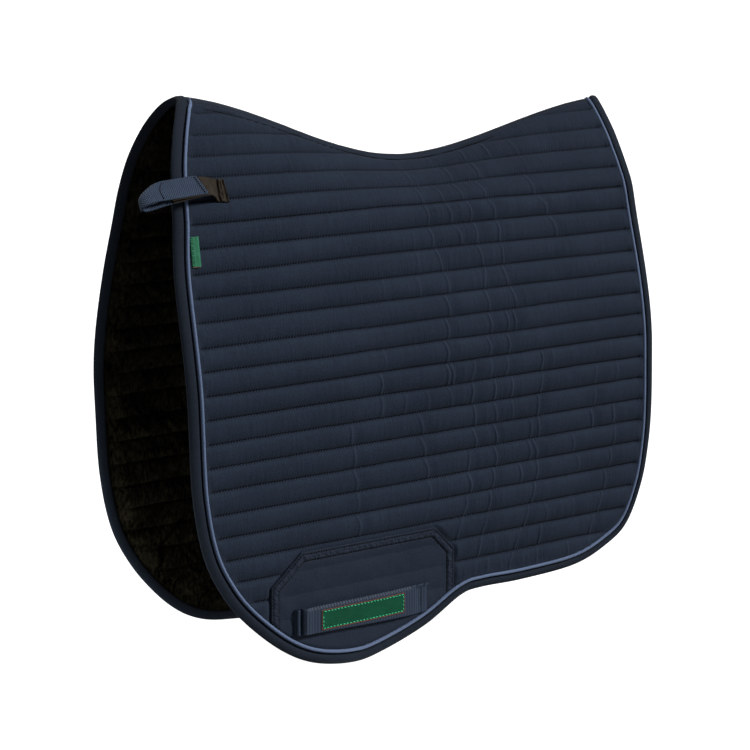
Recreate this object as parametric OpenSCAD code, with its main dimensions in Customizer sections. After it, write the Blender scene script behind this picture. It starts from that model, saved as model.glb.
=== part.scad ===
// Quilted dressage saddle pad with bound edges, a billet strap and girth keepers.
// Frame: +Z up, the horse's head lies towards -X, the near (left) side is -Y.
// The origin is the underside of the spine at its lowest point.
// All lengths are millimetres.

/* [Panel] */
// Thickness of the quilted panel: cover, wadding and lining together
panel_thk = 11; // [10:0.5:12]
// Thickness of the twill outer cover
cover_thk = 1.2; // [1:0.1:1.6]
// Thickness of the plush lining
lining_thk = 1.8; // [1.4:0.1:2.2]
// Half of the width across the outside at the fold lines
fold_half_w = 58; // [55:1:61]
// How much further out each flap stands lower down
flap_flare = 36; // [32:1:40]

/* [Spine] */
// Rise of the spine from its dip to the withers
front_rise = 77; // [60:1:85]
// Rise of the spine from its dip to the loins
rear_rise = 48; // [36:1:56]
// Width of the tape over the spine seam
tape_w = 30; // [24:1:34]
// Thickness of each spine tape
tape_thk = 1; // [0.8:0.1:1.2]

/* [Edging] */
// Width of the binding on each face
bind_w = 14; // [12:1:16]
// Thickness of the binding cloth
bind_thk = 1.2; // [1:0.1:1.4]
// Diameter of the corded piping
piping_d = 3.2; // [2.6:0.2:3.4]

/* [Girth keeper] */
// Width of the keeper webbing
keeper_w = 31; // [28:1:33]
// Clear height under the keeper at its middle
keeper_gap = 5.6; // [5:0.2:7]
// Thickness of the keeper webbing
web_thk = 1.8; // [1.6:0.1:2]
// Length of the bare label on the keeper
label_l = 114; // [90:1:120]
// Height of the bare label on the keeper
label_h = 20; // [16:1:22]

/* [Billet strap] */
// Width of the billet webbing
strap_w = 25; // [22:1:27]
// Radius of the open eye at the end of the billet strap
eye_r = 3.5; // [3:0.1:3.8]
// Distance from the sewn end of the billet strap to its eye
strap_l = 76; // [70:0.5:80]

/* [Flag label] */
// How far the flag label stands out of the piping seam
flag_l = 13; // [10:1:16]
// Height of the flag label
flag_h = 31; // [26:1:34]

/* [Hidden] */

navy = [0.15, 0.18, 0.23];
navy_edge = [0.16, 0.19, 0.25];
steel = [0.36, 0.41, 0.50];
webbing = [0.22, 0.27, 0.33];
plush = [0.07, 0.06, 0.05];
wool = [0.85, 0.84, 0.80];
brown = [0.21, 0.19, 0.17];
green = [0.13, 0.32, 0.25];
smooth_navy = [0.17, 0.20, 0.25];

// the pattern of one flap is drawn on (x, v): v is the distance down the cloth,
// and the fold line lies at fold_v
fold_v = 125;
fold_z = -37;
fold_gap_out = 4.5;
fold_gap_in = 1.8;
fold_gap_edge = 5.5;
flare_v0 = 85;
flare_len = 230;

// outline of the bound edge, down the front, along the bottom and up the rear
outline = [
  [-342, 125], [-348, 180], [-350, 260], [-348, 340], [-344, 410], [-331, 470], [-307, 515], [-276, 550],
  [-232, 586], [-190, 606], [-140, 617], [-100, 612], [-40, 594], [10, 569], [40, 562], [100, 563],
  [180, 558], [230, 543], [262, 521],
  [284, 475], [294, 430], [298, 380], [297, 300], [296, 200], [293, 125]];
front_end = 7;
bottom_end = 18;
rear_end = 24;

// grid of one flap and of one half of the crown
nb = 20;
nr = 12;
nc = 4;
ns = 2*nr + nb;

core_out = cover_thk;
core_in = panel_thk - lining_thk;

function smooth(t) = let (c = min(1, max(0, t))) c*c*(3 - 2*c);
function slope(t) = let (c = min(1, max(0, t))) 6*c*(1 - c);
function mix(a, b, t) = a + (b - a)*t;

// smooth curve through the points p, one unit of t from point to point
function curve_part(p, i, f) = let (n = len(p) - 1, a = p[max(0, i - 1)], b = p[i], c = p[min(n, i + 1)], d = p[min(n, i + 2)])
  0.5*(2*b + (c - a)*f + (2*a - 5*b + 4*c - d)*f*f + (3*b - a - 3*c + d)*f*f*f);
function curve(p, t) = let (n = len(p) - 1, s = min(max(t, 0), n), i = min(floor(s), n - 1)) curve_part(p, i, s - i);

// outer face of a flap and its slope; w is the depth below that face
function flap_y(v) = fold_half_w - 3 + flap_flare*smooth((v - flare_v0)/flare_len);
function flap_z(v) = fold_z - (v - fold_v) + 3.5*(smooth((v - flare_v0)/flare_len) - smooth((fold_v - flare_v0)/flare_len));
function flap_s(v) = flap_flare/flare_len*slope((v - flare_v0)/flare_len);
function flap_pt(x, v, w) = let (s = flap_s(v), c = sqrt(1 - s*s)) [x, -(flap_y(v) - w*c), flap_z(v) - w*s];

// section of the crown at x, from the fold line (t = 0) to the spine (t = 1)
function front_share(x) = smooth(-x/320);
function rear_share(x) = smooth(x/300);
function spine_z(x) = panel_thk + tape_thk + front_rise*front_share(x) + rear_rise*rear_share(x);
function unit2(a) = a/norm(a);
function turn_out(a) = [a[1], -a[0]];
function crown_poly(x, w) =
  let (a = front_share(x), b = rear_share(x), zs = spine_z(x),
       s0 = flap_s(fold_v), c0 = sqrt(1 - s0*s0),
       p0 = [flap_y(fold_v), fold_z],
       p1 = [fold_half_w - 8 - 4*b, fold_z + 11 + 29*a + 19*b],
       p2 = [15 + 12*a - b, zs - 12 + 12*a + 4*b],
       p3 = [0, zs],
       n1 = unit2(turn_out(p0 - p1)*-1),
       n2 = unit2(turn_out(p2 - p3)*-1 + [0, 0.001]))
  [p0 - w*[c0, s0], p1 - w*n1, p2 - w*n2, p3 - w*[0, 1]];
function bez(p, t) = let (r = 1 - t) r*r*r*p[0] + 3*t*r*r*p[1] + 3*t*t*r*p[2] + t*t*t*p[3];
function crown_pt(x, t, w) = let (q = bez(crown_poly(x, w), t)) [x, -q[0], q[1]];
// where a row starts, gap millimetres above the fold line, and where the spine tape starts
function t_fold(x, gap) = let (p = crown_poly(x, 0)) gap/(3*norm(p[1] - p[0]));
function t_tape(x) = let (p = crown_poly(x, 0)) 1 - 0.5*tape_w/(3*norm(p[3] - p[2]));
function crown_t(x, i, gap) = i <= nc ? mix(t_fold(x, gap), t_tape(x), i/nc) : mix(t_tape(x), 1, (i - nc)/2);
// front and rear ends of the crown along each row
front_rows = [-342, -339, -333, -322, -309, -303, -300];
rear_rows = [293, 292, 291, 290, 288, 287, 287];
function front_x(i) = front_rows[i];
function rear_x(i) = rear_rows[i];
function crown_x(i, j) = let (f = front_x(i), r = rear_x(i))
  j == 0 ? f + bind_thk : j == nb + 2 ? r - bind_thk : mix(f + bind_w, r - bind_w, (j - 1)/nb);
function crown_node(i, j, w, gap) = let (x = crown_x(i, j)) crown_pt(x, crown_t(x, i, gap), w);

// stations along the bound edge of a flap
function edge_t(s) = s <= nr ? front_end*s/nr : s <= nr + nb ? front_end + (bottom_end - front_end)*(s - nr)/nb
  : bottom_end + (rear_end - bottom_end)*(s - nr - nb)/nr;
function edge_pt(s) = curve(outline, edge_t(s));
function edge_in(s) = s == 0 ? [1, 0] : s == ns ? [-1, 0] :
  let (d = curve(outline, edge_t(s) + 0.1) - curve(outline, edge_t(s) - 0.1)) [d[1], -d[0]]/norm(d);
function inset(s, e, gap) = let (p = edge_pt(s) + e*edge_in(s)) s == 0 || s == ns ? [p[0], fold_v + gap] : p;
// inner field of a flap, ruled between its four sides
function field(i, j, gap) = let (u = j/nb, t = i/nr,
    f = inset(i, bind_w, gap), r = inset(ns - i, bind_w, gap), b = inset(nr + j, bind_w, gap),
    f0 = inset(0, bind_w, gap), r0 = inset(ns, bind_w, gap), fe = inset(nr, bind_w, gap), re = inset(nr + nb, bind_w, gap),
    top = mix(f0, r0, u))
  (1 - u)*f + u*r + (1 - t)*top + t*b - ((1 - u)*(1 - t)*f0 + u*(1 - t)*r0 + (1 - u)*t*fe + u*t*re);
function flap_at(p, w) = flap_pt(p[0], p[1], w);

function split(q) = [[q[0], q[1], q[2]], [q[0], q[2], q[3]]];
function flip(t) = [t[0], t[2], t[1]];

// closed shell between two point sheets that share their cells and their rim
module sheet_solid(top, bottom, cells, rim) {
  n = len(top);
  tops = [for (q = cells, t = split(q)) t];
  lows = [for (t = tops) flip([t[0] + n, t[1] + n, t[2] + n])];
  m = len(rim);
  walls = [for (k = [0:m - 1]) let (a = rim[k], b = rim[(k + 1) % m]) each [[b, a, a + n], [b, a + n, b + n]]];
  polyhedron(points = concat(top, bottom), faces = concat(tops, lows, walls), convexity = 6);
}

// closed tube of one profile set at each station
module swept(rings) {
  n = len(rings);
  m = len(rings[0]);
  pts = [for (r = rings, p = r) p];
  sides = [for (i = [0:n - 2], k = [0:m - 1]) let (a = i*m + k, b = i*m + (k + 1) % m) each split([a, b, b + m, a + m])];
  first = [[for (k = [m - 1:-1:0]) k]];
  last = [[for (k = [0:m - 1]) (n - 1)*m + k]];
  polyhedron(points = pts, faces = concat(sides, first, last), convexity = 6);
}

// one cloth layer of the crown on the near side, between depths w0 and w1
module crown_layer(w0, w1, g0, g1) {
  w = nb + 3;
  h = nc + 3;
  top = [for (i = [0:h - 1], j = [0:w - 1]) crown_node(i, j, w0, g0)];
  low = [for (i = [0:h - 1], j = [0:w - 1]) crown_node(i, j, w1, g1)];
  cells = [for (i = [0:h - 2], j = [0:w - 2]) [i*w + j, (i + 1)*w + j, (i + 1)*w + j + 1, i*w + j + 1]];
  rim = concat([for (j = [0:w - 1]) (h - 1)*w + w - 1 - j], [for (i = [1:h - 1]) (h - 1 - i)*w],
    [for (j = [1:w - 1]) j], [for (i = [1:h - 2]) i*w + w - 1]);
  sheet_solid(top, low, cells, [for (k = [len(rim) - 1:-1:0]) rim[k]]);
}

// one cloth layer of the near flap, between depths w0 and w1
module flap_layer(w0, w1, g0, g1) {
  w = nb + 1;
  n0 = (nr + 1)*w;
  function sheet(d, g) = concat([for (i = [0:nr], j = [0:nb]) flap_at(field(i, j, g), d)],
    [for (s = [0:ns]) flap_at(inset(s, bind_thk, g), d)]);
  // index of the field point beside edge station s
  function beside(s) = s <= nr ? s*w : s <= nr + nb ? nr*w + s - nr : (ns - s)*w + nb;
  cells = concat(
    [for (i = [0:nr - 1], j = [0:nb - 1]) [i*w + j, i*w + j + 1, (i + 1)*w + j + 1, (i + 1)*w + j]],
    [for (s = [0:ns - 1]) [n0 + s, beside(s), beside(s + 1), n0 + s + 1]]);
  rim = concat([for (s = [0:ns]) n0 + s], [for (j = [0:nb]) nb - j]);
  sheet_solid(sheet(w0, g0), sheet(w1, g1), cells, [for (k = [len(rim) - 1:-1:0]) rim[k]]);
}

// folded binding: e runs in from the edge, w down through the panel
bind_profile = [
  [bind_w, 0], [bind_thk, 0], [bind_thk, panel_thk], [bind_w, panel_thk], [bind_w, panel_thk + bind_thk],
  [1, panel_thk + bind_thk], [0, panel_thk - 1], [0, 1], [1, -bind_thk], [bind_w, -bind_thk]];
cord_r = piping_d/2;
cord_e = bind_w + cord_r + 0.1;
cord_w = -cord_r - 0.1;
cord_profile = [for (k = [0:7]) [cord_e + cord_r*cos(45*k + 22.5), cord_w + cord_r*sin(45*k + 22.5)]];

function mirrored(p) = [p[0], -p[1], p[2]];
function back(p) = [for (k = [len(p) - 1:-1:0]) p[k]];
// one profile carried over the arch along the front (dir = 1) or rear (dir = -1) end of the crown
function end_ring(profile, i, dir, gap) = [for (p = profile) let (x = (dir > 0 ? front_x(i) : rear_x(i)) + dir*p[0])
  crown_pt(x, crown_t(x, i, gap), p[1])];
module arch_end(profile, dir, gap) {
  near = [for (i = [0:nc + 2]) end_ring(profile, i, dir, gap)];
  far = [for (i = [nc + 1:-1:0]) [for (p = end_ring(profile, i, dir, gap)) mirrored(p)]];
  rings = concat(near, far);
  swept(dir > 0 ? [for (r = rings) back(r)] : rings);
}
module edge_run(profile, gap) {
  swept([for (s = [0:ns]) [for (p = profile) flap_at(inset(s, p[0], gap), p[1])]]);
}

// spine tape laid on the crown from one side to the other
module tape(w0, w1) {
  w = nb + 1;
  h = 5;
  function side(i, d) = [for (j = [1:nb + 1]) crown_node(nc + i, j, d, 0)];
  function strip(d) = concat([for (i = [0:2], p = side(i, d)) p], [for (i = [1:-1:0], p = side(i, d)) mirrored(p)]);
  cells = [for (i = [0:h - 2], j = [0:w - 2]) [i*w + j, (i + 1)*w + j, (i + 1)*w + j + 1, i*w + j + 1]];
  rim = concat([for (j = [0:w - 1]) (h - 1)*w + w - 1 - j], [for (i = [1:h - 1]) (h - 1 - i)*w],
    [for (j = [1:w - 1]) j], [for (i = [1:h - 2]) i*w + w - 1]);
  sheet_solid(strip(w0), strip(w1), cells, back(rim));
}

// thread line that the flap folds about
module fold_thread() {
  s0 = flap_s(fold_v);
  c0 = sqrt(1 - s0*s0);
  translate([-326, -(flap_y(fold_v) - 0.5*panel_thk*c0), fold_z - 0.5*panel_thk*s0])
    rotate([0, 90, 0]) cylinder(r = 1.4, h = 603, $fn = 32);
}

// girth patch
patch_x = [-250, -230, -210, -190, -165, -140, -120, -100, -70, -45, -29, -15, -2];
patch_top = [[-250, 513], [-210, 480], [-29, 480], [-2, 507]];
patch_low = [[-250, 545], [-230, 561], [-210, 574], [-190, 585], [-165, 592], [-140, 596], [-120, 595], [-100, 591], [-70, 583], [-45, 575], [-29, 567], [-15, 560], [-2, 553]];
module patch() {
  w = len(patch_x);
  h = 4;
  function at(i, j, d) = let (x = patch_x[j]) flap_pt(x, mix(lookup(x, patch_top), lookup(x, patch_low), i/(h - 1)), d);
  top = [for (i = [0:h - 1], j = [0:w - 1]) at(i, j, -1.3)];
  low = [for (i = [0:h - 1], j = [0:w - 1]) at(i, j, -0.1)];
  cells = [for (i = [0:h - 2], j = [0:w - 2]) [i*w + j, i*w + j + 1, (i + 1)*w + j + 1, (i + 1)*w + j]];
  rim = concat([for (j = [0:w - 1]) j], [for (i = [1:h - 1]) i*w + w - 1],
    [for (j = [1:w - 1]) (h - 1)*w + w - 1 - j], [for (i = [1:h - 2]) (h - 1 - i)*w]);
  sheet_solid(top, low, cells, rim);
}

// girth keeper: webbing that bows off the patch between its two sewn ends
keeper_x0 = -206;
keeper_x1 = -57;
keeper_v = 540;
function keeper_off(x) = 2.2 + (keeper_gap - 1)*sqrt(max(0, sin(180*(x - keeper_x0)/(keeper_x1 - keeper_x0))));
module keeper_sheet(x0, x1, v0, v1, lift, thk, n) {
  w = n + 1;
  function at(i, j, d) = let (x = mix(x0, x1, j/n)) flap_pt(x, i == 0 ? v0 : v1, -keeper_off(x) - lift - d);
  top = [for (i = [0:1], j = [0:n]) at(i, j, thk)];
  low = [for (i = [0:1], j = [0:n]) at(i, j, 0)];
  cells = [for (j = [0:n - 1]) [j, j + 1, w + j + 1, w + j]];
  rim = concat([for (j = [0:n]) j], [for (j = [0:n]) w + n - j]);
  sheet_solid(top, low, cells, rim);
}
module keeper_end(x0, len) {
  y = flap_y(560);
  translate([x0, -y - 1.4 - web_thk, flap_z(keeper_v + keeper_w)]) cube([len, web_thk, keeper_w]);
}

// billet strap: its sewn end stands off the flank, and the webbing is tipped outward and droops forward.
// In the strap's frame x runs along it, y points in towards the pad and z is across its width
strap_root = [-309, -60.4, 2.2];
strap_tip = 47;
strap_droop = 8.5;
eye_wall = 1.6;
eye_out = eye_r + eye_wall;
eye_y = web_thk/2 - eye_out;
tail_l = strap_l - 2;
hook_thk = 1.5;
tail_turn = asin((eye_out + 0.3 - hook_thk - 0.4 - web_thk + eye_out)/tail_l);
module on_flank() { translate([0, -51.2, -7]) rotate([-14, 0, 0]) children(); }
module on_strap() { translate(strap_root) rotate([-strap_tip, 0, 0]) rotate([0, -strap_droop, 0]) children(); }
module anchor() { on_flank() translate([-290, -1.9, -11]) cube([18, 1.6, 25]); }
module root_end() {
  hull() {
    on_flank() translate([-289, -3.4, -10]) cube([4, 1.4, 23]);
    on_strap() translate([1.4, -web_thk/2, -strap_w/2]) cube([2, web_thk, strap_w]);
  }
}
module strap() {
  on_strap() difference() {
    union() {
      translate([-strap_l, -web_thk/2, -strap_w/2]) cube([strap_l, web_thk, strap_w]);
      translate([0, 0, -strap_w/2]) cylinder(d = web_thk, h = strap_w, $fn = 32);
      translate([-strap_l, eye_y, -strap_w/2]) cylinder(r = eye_out, h = strap_w, $fn = 48);
    }
    translate([-strap_l, eye_y, -strap_w/2 - 1]) cylinder(r = eye_r, h = strap_w + 2, $fn = 48);
  }
}
module on_tail() { on_strap() translate([-strap_l, eye_y, 0]) rotate([0, 0, tail_turn]) children(); }
module tail() { on_tail() translate([0, -eye_out - 0.3 - web_thk, -strap_w/2]) cube([tail_l, web_thk, strap_w]); }
module hook_tape() { on_tail() translate([28, -eye_out - 0.3, -strap_w/2 - 0.8]) cube([tail_l - 30, hook_thk, strap_w]); }

// folded flag label sewn into the piping seam
flag_x = -324.5;
flag_v = 152;
module flag() {
  translate([flag_x, -flap_y(flag_v), flap_z(flag_v)]) rotate([-11, 0, 0]) {
    translate([0, -2.2, -flag_h/2]) cube([flag_l, 1.6, flag_h]);
    translate([0, -1.4, -flag_h/2]) cylinder(r = 0.8, h = flag_h, $fn = 32);
  }
}

module far_side() { mirror([0, 1, 0]) children(); }

module spine_tape() { color(navy_edge) tape(-tape_thk, 0); }
module spine_inner_tape() { color(plush) tape(panel_thk, panel_thk + tape_thk); }
module front_binding() { color(navy_edge) arch_end(bind_profile, 1, fold_gap_edge); }
module rear_binding() { color(navy_edge) arch_end(bind_profile, -1, fold_gap_edge); }
module front_piping() { color(steel) arch_end(cord_profile, 1, fold_gap_edge + 1); }
module rear_piping() { color(steel) arch_end(cord_profile, -1, fold_gap_edge + 1); }
module near_upper_cover() { color(navy) crown_layer(0, core_out, fold_gap_out, fold_gap_out); }
module near_upper_core() { color(wool) crown_layer(core_out, core_in, fold_gap_out, fold_gap_in); }
module near_upper_lining() { color(plush) crown_layer(core_in, panel_thk, fold_gap_in, fold_gap_in); }
module far_upper_cover() { color(navy) far_side() crown_layer(0, core_out, fold_gap_out, fold_gap_out); }
module far_upper_core() { color(wool) far_side() crown_layer(core_out, core_in, fold_gap_out, fold_gap_in); }
module far_upper_lining() { color(plush) far_side() crown_layer(core_in, panel_thk, fold_gap_in, fold_gap_in); }
module near_fold_seam() { color(navy_edge) fold_thread(); }
module far_fold_seam() { color(navy_edge) far_side() fold_thread(); }
module near_flap_cover() { color(navy) flap_layer(0, core_out, fold_gap_out, fold_gap_out); }
module near_flap_core() { color(wool) flap_layer(core_out, core_in, fold_gap_out, fold_gap_in); }
module near_flap_lining() { color(plush) flap_layer(core_in, panel_thk, fold_gap_in, fold_gap_in); }
module near_flap_binding() { color(navy_edge) edge_run(bind_profile, fold_gap_edge); }
module near_flap_piping() { color(steel) edge_run(cord_profile, fold_gap_edge + 1); }
module far_flap_cover() { color(navy) far_side() flap_layer(0, core_out, fold_gap_out, fold_gap_out); }
module far_flap_core() { color(wool) far_side() flap_layer(core_out, core_in, fold_gap_out, fold_gap_in); }
module far_flap_lining() { color(plush) far_side() flap_layer(core_in, panel_thk, fold_gap_in, fold_gap_in); }
module far_flap_binding() { color(navy_edge) far_side() edge_run(bind_profile, fold_gap_edge); }
module far_flap_piping() { color(steel) far_side() edge_run(cord_profile, fold_gap_edge + 1); }
module near_girth_patch() { color(smooth_navy) patch(); }
module near_keeper_ends() { color(webbing) { keeper_end(-221, 14); keeper_end(-56, 15); } }
module near_keeper_strap() { color(webbing) keeper_sheet(keeper_x0, keeper_x1, keeper_v, keeper_v + keeper_w, 0, web_thk, 16); }
module near_keeper_label() { color(green) keeper_sheet(-132 - label_l/2, -132 + label_l/2, keeper_v + keeper_w - 1 - label_h, keeper_v + keeper_w - 1, web_thk, 1, 12); }
module far_girth_patch() { color(smooth_navy) far_side() patch(); }
module far_keeper_ends() { color(webbing) far_side() { keeper_end(-221, 14); keeper_end(-56, 15); } }
module far_keeper_strap() { color(webbing) far_side() keeper_sheet(keeper_x0, keeper_x1, keeper_v, keeper_v + keeper_w, 0, web_thk, 16); }
module far_keeper_label() { color(green) far_side() keeper_sheet(-132 - label_l/2, -132 + label_l/2, keeper_v + keeper_w - 1 - label_h, keeper_v + keeper_w - 1, web_thk, 1, 12); }
module near_billet_anchor() { color(brown) anchor(); }
module near_billet_root() { color(brown) root_end(); }
module near_billet_strap() { color(webbing) strap(); }
module near_billet_tail() { color(webbing) tail(); }
module near_billet_hook_tape() { color(brown) hook_tape(); }
module flag_label() { color(green) flag(); }

spine_tape();
spine_inner_tape();
front_binding();
rear_binding();
front_piping();
rear_piping();
near_upper_cover();
near_upper_core();
near_upper_lining();
far_upper_cover();
far_upper_core();
far_upper_lining();
near_fold_seam();
far_fold_seam();
near_flap_cover();
near_flap_core();
near_flap_lining();
near_flap_binding();
near_flap_piping();
far_flap_cover();
far_flap_core();
far_flap_lining();
far_flap_binding();
far_flap_piping();
near_girth_patch();
near_keeper_ends();
near_keeper_strap();
near_keeper_label();
far_girth_patch();
far_keeper_ends();
far_keeper_strap();
far_keeper_label();
near_billet_anchor();
near_billet_root();
near_billet_strap();
near_billet_tail();
near_billet_hook_tape();
flag_label();
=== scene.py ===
import math

import bpy
import numpy as np
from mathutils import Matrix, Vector, kdtree


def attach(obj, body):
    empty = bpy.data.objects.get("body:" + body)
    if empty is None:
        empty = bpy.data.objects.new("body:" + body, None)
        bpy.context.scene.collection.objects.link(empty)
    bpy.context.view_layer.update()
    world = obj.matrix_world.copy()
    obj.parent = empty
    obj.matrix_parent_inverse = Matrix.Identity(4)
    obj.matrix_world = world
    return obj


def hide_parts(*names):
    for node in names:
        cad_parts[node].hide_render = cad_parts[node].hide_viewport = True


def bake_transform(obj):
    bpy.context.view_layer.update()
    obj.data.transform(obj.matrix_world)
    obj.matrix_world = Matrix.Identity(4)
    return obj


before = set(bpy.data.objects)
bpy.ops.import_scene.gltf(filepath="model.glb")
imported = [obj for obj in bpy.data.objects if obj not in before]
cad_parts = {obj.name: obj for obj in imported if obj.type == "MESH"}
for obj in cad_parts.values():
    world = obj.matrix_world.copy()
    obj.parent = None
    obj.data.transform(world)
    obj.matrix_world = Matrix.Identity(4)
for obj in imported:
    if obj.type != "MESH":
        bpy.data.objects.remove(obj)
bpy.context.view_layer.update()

MM = 0.001
TAU = 2*math.pi

# ---------------------------------------------------------------------------
# small numeric helpers
# ---------------------------------------------------------------------------


def smooth(t):
    c = np.clip(t, 0, 1)
    return c*c*(3 - 2*c)


def slope(t):
    c = np.clip(t, 0, 1)
    return 6*c*(1 - c)


def mix(a, b, t):
    return a + (b - a)*t


def vnoise(x, y, seed):
    """Smooth value noise from -1 to 1 with one cell per unit."""
    x, y = np.broadcast_arrays(np.asarray(x, float), np.asarray(y, float))
    xi, yi = np.floor(x).astype(np.int64), np.floor(y).astype(np.int64)
    fx, fy = x - xi, y - yi
    fx, fy = fx*fx*(3 - 2*fx), fy*fy*(3 - 2*fy)

    def cell(i, j):
        n = (i*374761393 + j*668265263 + seed*362437) & 0xFFFFFFFF
        n = ((n ^ (n >> 13))*1274126177) & 0xFFFFFFFF
        n = ((n ^ (n >> 15))*2246822519) & 0xFFFFFFFF
        return ((n ^ (n >> 16)) & 0xFFFF)/32767.5 - 1

    low = cell(xi, yi)*(1 - fx) + cell(xi + 1, yi)*fx
    high = cell(xi, yi + 1)*(1 - fx) + cell(xi + 1, yi + 1)*fx
    return low*(1 - fy) + high*fy


# ---------------------------------------------------------------------------
# the pad's shape: (x, v) on the cloth, w millimetres below its outer face.
# v = 125 is the fold line, larger v is down the flap, smaller v up the crown
# ---------------------------------------------------------------------------
FOLD_V, FOLD_Z, PITCH = 125.0, -37.0, 25.0
PANEL = 11.0
OUTLINE = [
    (-342, 125), (-348, 180), (-350, 260), (-348, 340), (-344, 410), (-331, 470), (-307, 515), (-276, 550),
    (-232, 585), (-190, 605), (-140, 613.2), (-100, 608), (-40, 589.5), (10, 564.5), (40, 560), (100, 561),
    (180, 557), (230, 541), (262, 519),
    (284, 475), (294, 430), (298, 380), (297, 300), (296, 200), (293, 125)]
FRONT_ROWS = [-342, -339, -333, -322, -309, -303, -300]
REAR_ROWS = [293, 292, 291, 290, 288, 287, 287]


def flap_y(v):
    return 55 + 36*smooth((v - 85)/230)


def flap_z(v):
    return FOLD_Z - (v - FOLD_V) + 3.5*(smooth((v - 85)/230) - smooth((FOLD_V - 85)/230))


def flap_s(v):
    return 36/230*slope((v - 85)/230)


def crown_points(x, w):
    """The four control points (y, z) of the crown's section at x."""
    a, b = smooth(-x/320), smooth(x/300)
    zs = 12 + 77*a + 48*b
    s0 = float(flap_s(np.array(FOLD_V)))
    c0 = math.sqrt(1 - s0*s0)
    one = np.ones_like(x)
    p0 = np.stack([flap_y(FOLD_V)*one, FOLD_Z*one], -1)
    p1 = np.stack([50 - 4*b, -26 + 29*a + 19*b], -1)
    p2 = np.stack([15 + 12*a - b, zs - 12 + 12*a + 4*b], -1)
    p3 = np.stack([0*one, zs], -1)

    def out(d):
        n = np.stack([-d[..., 1], d[..., 0]], -1)
        return n/np.linalg.norm(n, axis=-1, keepdims=True)

    n1, n2 = out(p0 - p1), out(p2 - p3)
    n0 = np.stack([c0*one, s0*one], -1)
    n3 = np.stack([0*one, one], -1)
    w = np.asarray(w, float)[..., None]
    return p0 - w*n0, p1 - w*n1, p2 - w*n2, p3 - w*n3


def crown_at(x, t, w):
    p0, p1, p2, p3 = crown_points(x, w)
    t = t[..., None]
    r = 1 - t
    q = r*r*r*p0 + 3*t*r*r*p1 + 3*t*t*r*p2 + t*t*t*p3
    return np.stack([x, -q[..., 0], q[..., 1]], -1)


# arc length up the crown's section, tabled by x
TX = np.linspace(-362, 312, 338)
TT = np.linspace(0, 1, 201)
_g = crown_at(np.repeat(TX[:, None], len(TT), 1), np.repeat(TT[None], len(TX), 0), np.zeros((len(TX), len(TT))))
_s = np.concatenate([np.zeros((len(TX), 1)), np.cumsum(np.linalg.norm(np.diff(_g, axis=1)[..., 1:], axis=-1), 1)], 1)
ARC = _s[:, -1]
T_OF_U = np.stack([np.interp(TT, _s[i]/ARC[i], TT) for i in range(len(TX))])


def arc(x):
    """Length of the crown from the fold line to the spine at x."""
    return np.interp(x, TX, ARC)


def t_of(x, a):
    u = np.clip(a/arc(x), 0, 1)*(len(TT) - 1)
    f = np.clip((x - TX[0])/(TX[1] - TX[0]), 0, len(TX) - 1.001)
    i, j = np.floor(f).astype(int), np.minimum(np.floor(u).astype(int), len(TT) - 2)
    f, u = f - i, u - j
    return (T_OF_U[i, j]*(1 - f) + T_OF_U[i + 1, j]*f)*(1 - u) + (T_OF_U[i, j + 1]*(1 - f) + T_OF_U[i + 1, j + 1]*f)*u


def surf_plain(x, v, w):
    s = flap_s(v)
    c = np.sqrt(1 - s*s)
    flap = np.stack([x, -(flap_y(v) - w*c), flap_z(v) - w*s], -1)
    up = crown_at(x, t_of(x, FOLD_V - v), w)
    return np.where((v >= FOLD_V)[..., None], flap, up)


KERNEL = [(-15, 1), (-10, 3), (-5, 5), (0, 6), (5, 5), (10, 3), (15, 1)]


def surf(x, v, w):
    """Point of the near side in millimetres; the turn at the fold line is eased."""
    x, v, w = (np.array(q, float) for q in np.broadcast_arrays(x, v, w))
    out = surf_plain(x, v, w)
    near = np.abs(v - FOLD_V) < 40
    if near.any():
        xn, vn, wn = x[near], v[near], w[near]
        total = sum(k for _, k in KERNEL)
        eased = sum(k/total*surf_plain(xn, vn + d, wn) for d, k in KERNEL)
        f = smooth((40 - np.abs(vn - FOLD_V))/20)[..., None]
        out[near] = out[near]*(1 - f) + eased*f
    return out


# ---------------------------------------------------------------------------
# the bound edge in (x, v), from the spine down the front, along the bottom and up the rear
# ---------------------------------------------------------------------------


def row_arc(x, i):
    """Arc length above the fold line of crown row i (0 at the fold, 6 at the spine)."""
    x = np.array([float(x)])
    p = crown_points(x, np.zeros(1))
    tape = 1 - 15/(3*np.linalg.norm(p[3] - p[2], axis=-1))
    t = tape*i/4 if i <= 4 else mix(tape, 1, (i - 4)/2)
    k = np.argmin(np.abs(TX - x[0]))
    return float(np.interp(t[0], TT, _s[k]))


def edge_curve():
    front = [(FRONT_ROWS[i], FOLD_V - row_arc(FRONT_ROWS[i], i)) for i in range(6, 0, -1)]
    rear = [(REAR_ROWS[i], FOLD_V - row_arc(REAR_ROWS[i], i)) for i in range(1, 7)]
    p = np.array(front + OUTLINE + rear, float)
    first = [p[1][0], 2*p[0][1] - p[1][1]]
    last = [p[-2][0], 2*p[-1][1] - p[-2][1]]
    q = np.vstack([first, p, last])
    f = np.linspace(0, 1, 24, endpoint=False)[:, None]
    parts = []
    for i in range(1, len(q) - 2):
        a, b, c, d = q[i - 1], q[i], q[i + 1], q[i + 2]
        parts.append(0.5*(2*b + (c - a)*f + (2*a - 5*b + 4*c - d)*f**2 + (3*b - a - 3*c + d)*f**3))
    line = np.vstack(parts + [p[-1:]])
    return line


def even(line, step):
    """The polyline resampled at an even step, with its tangents."""
    s = np.concatenate([[0], np.cumsum(np.linalg.norm(np.diff(line, axis=0), axis=1))])
    n = max(2, int(round(s[-1]/step)) + 1)
    at = np.linspace(0, s[-1], n)
    p = np.stack([np.interp(at, s, line[:, k]) for k in range(line.shape[1])], 1)
    t = np.gradient(p, axis=0)
    return p, t/np.linalg.norm(t, axis=1, keepdims=True), at


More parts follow.
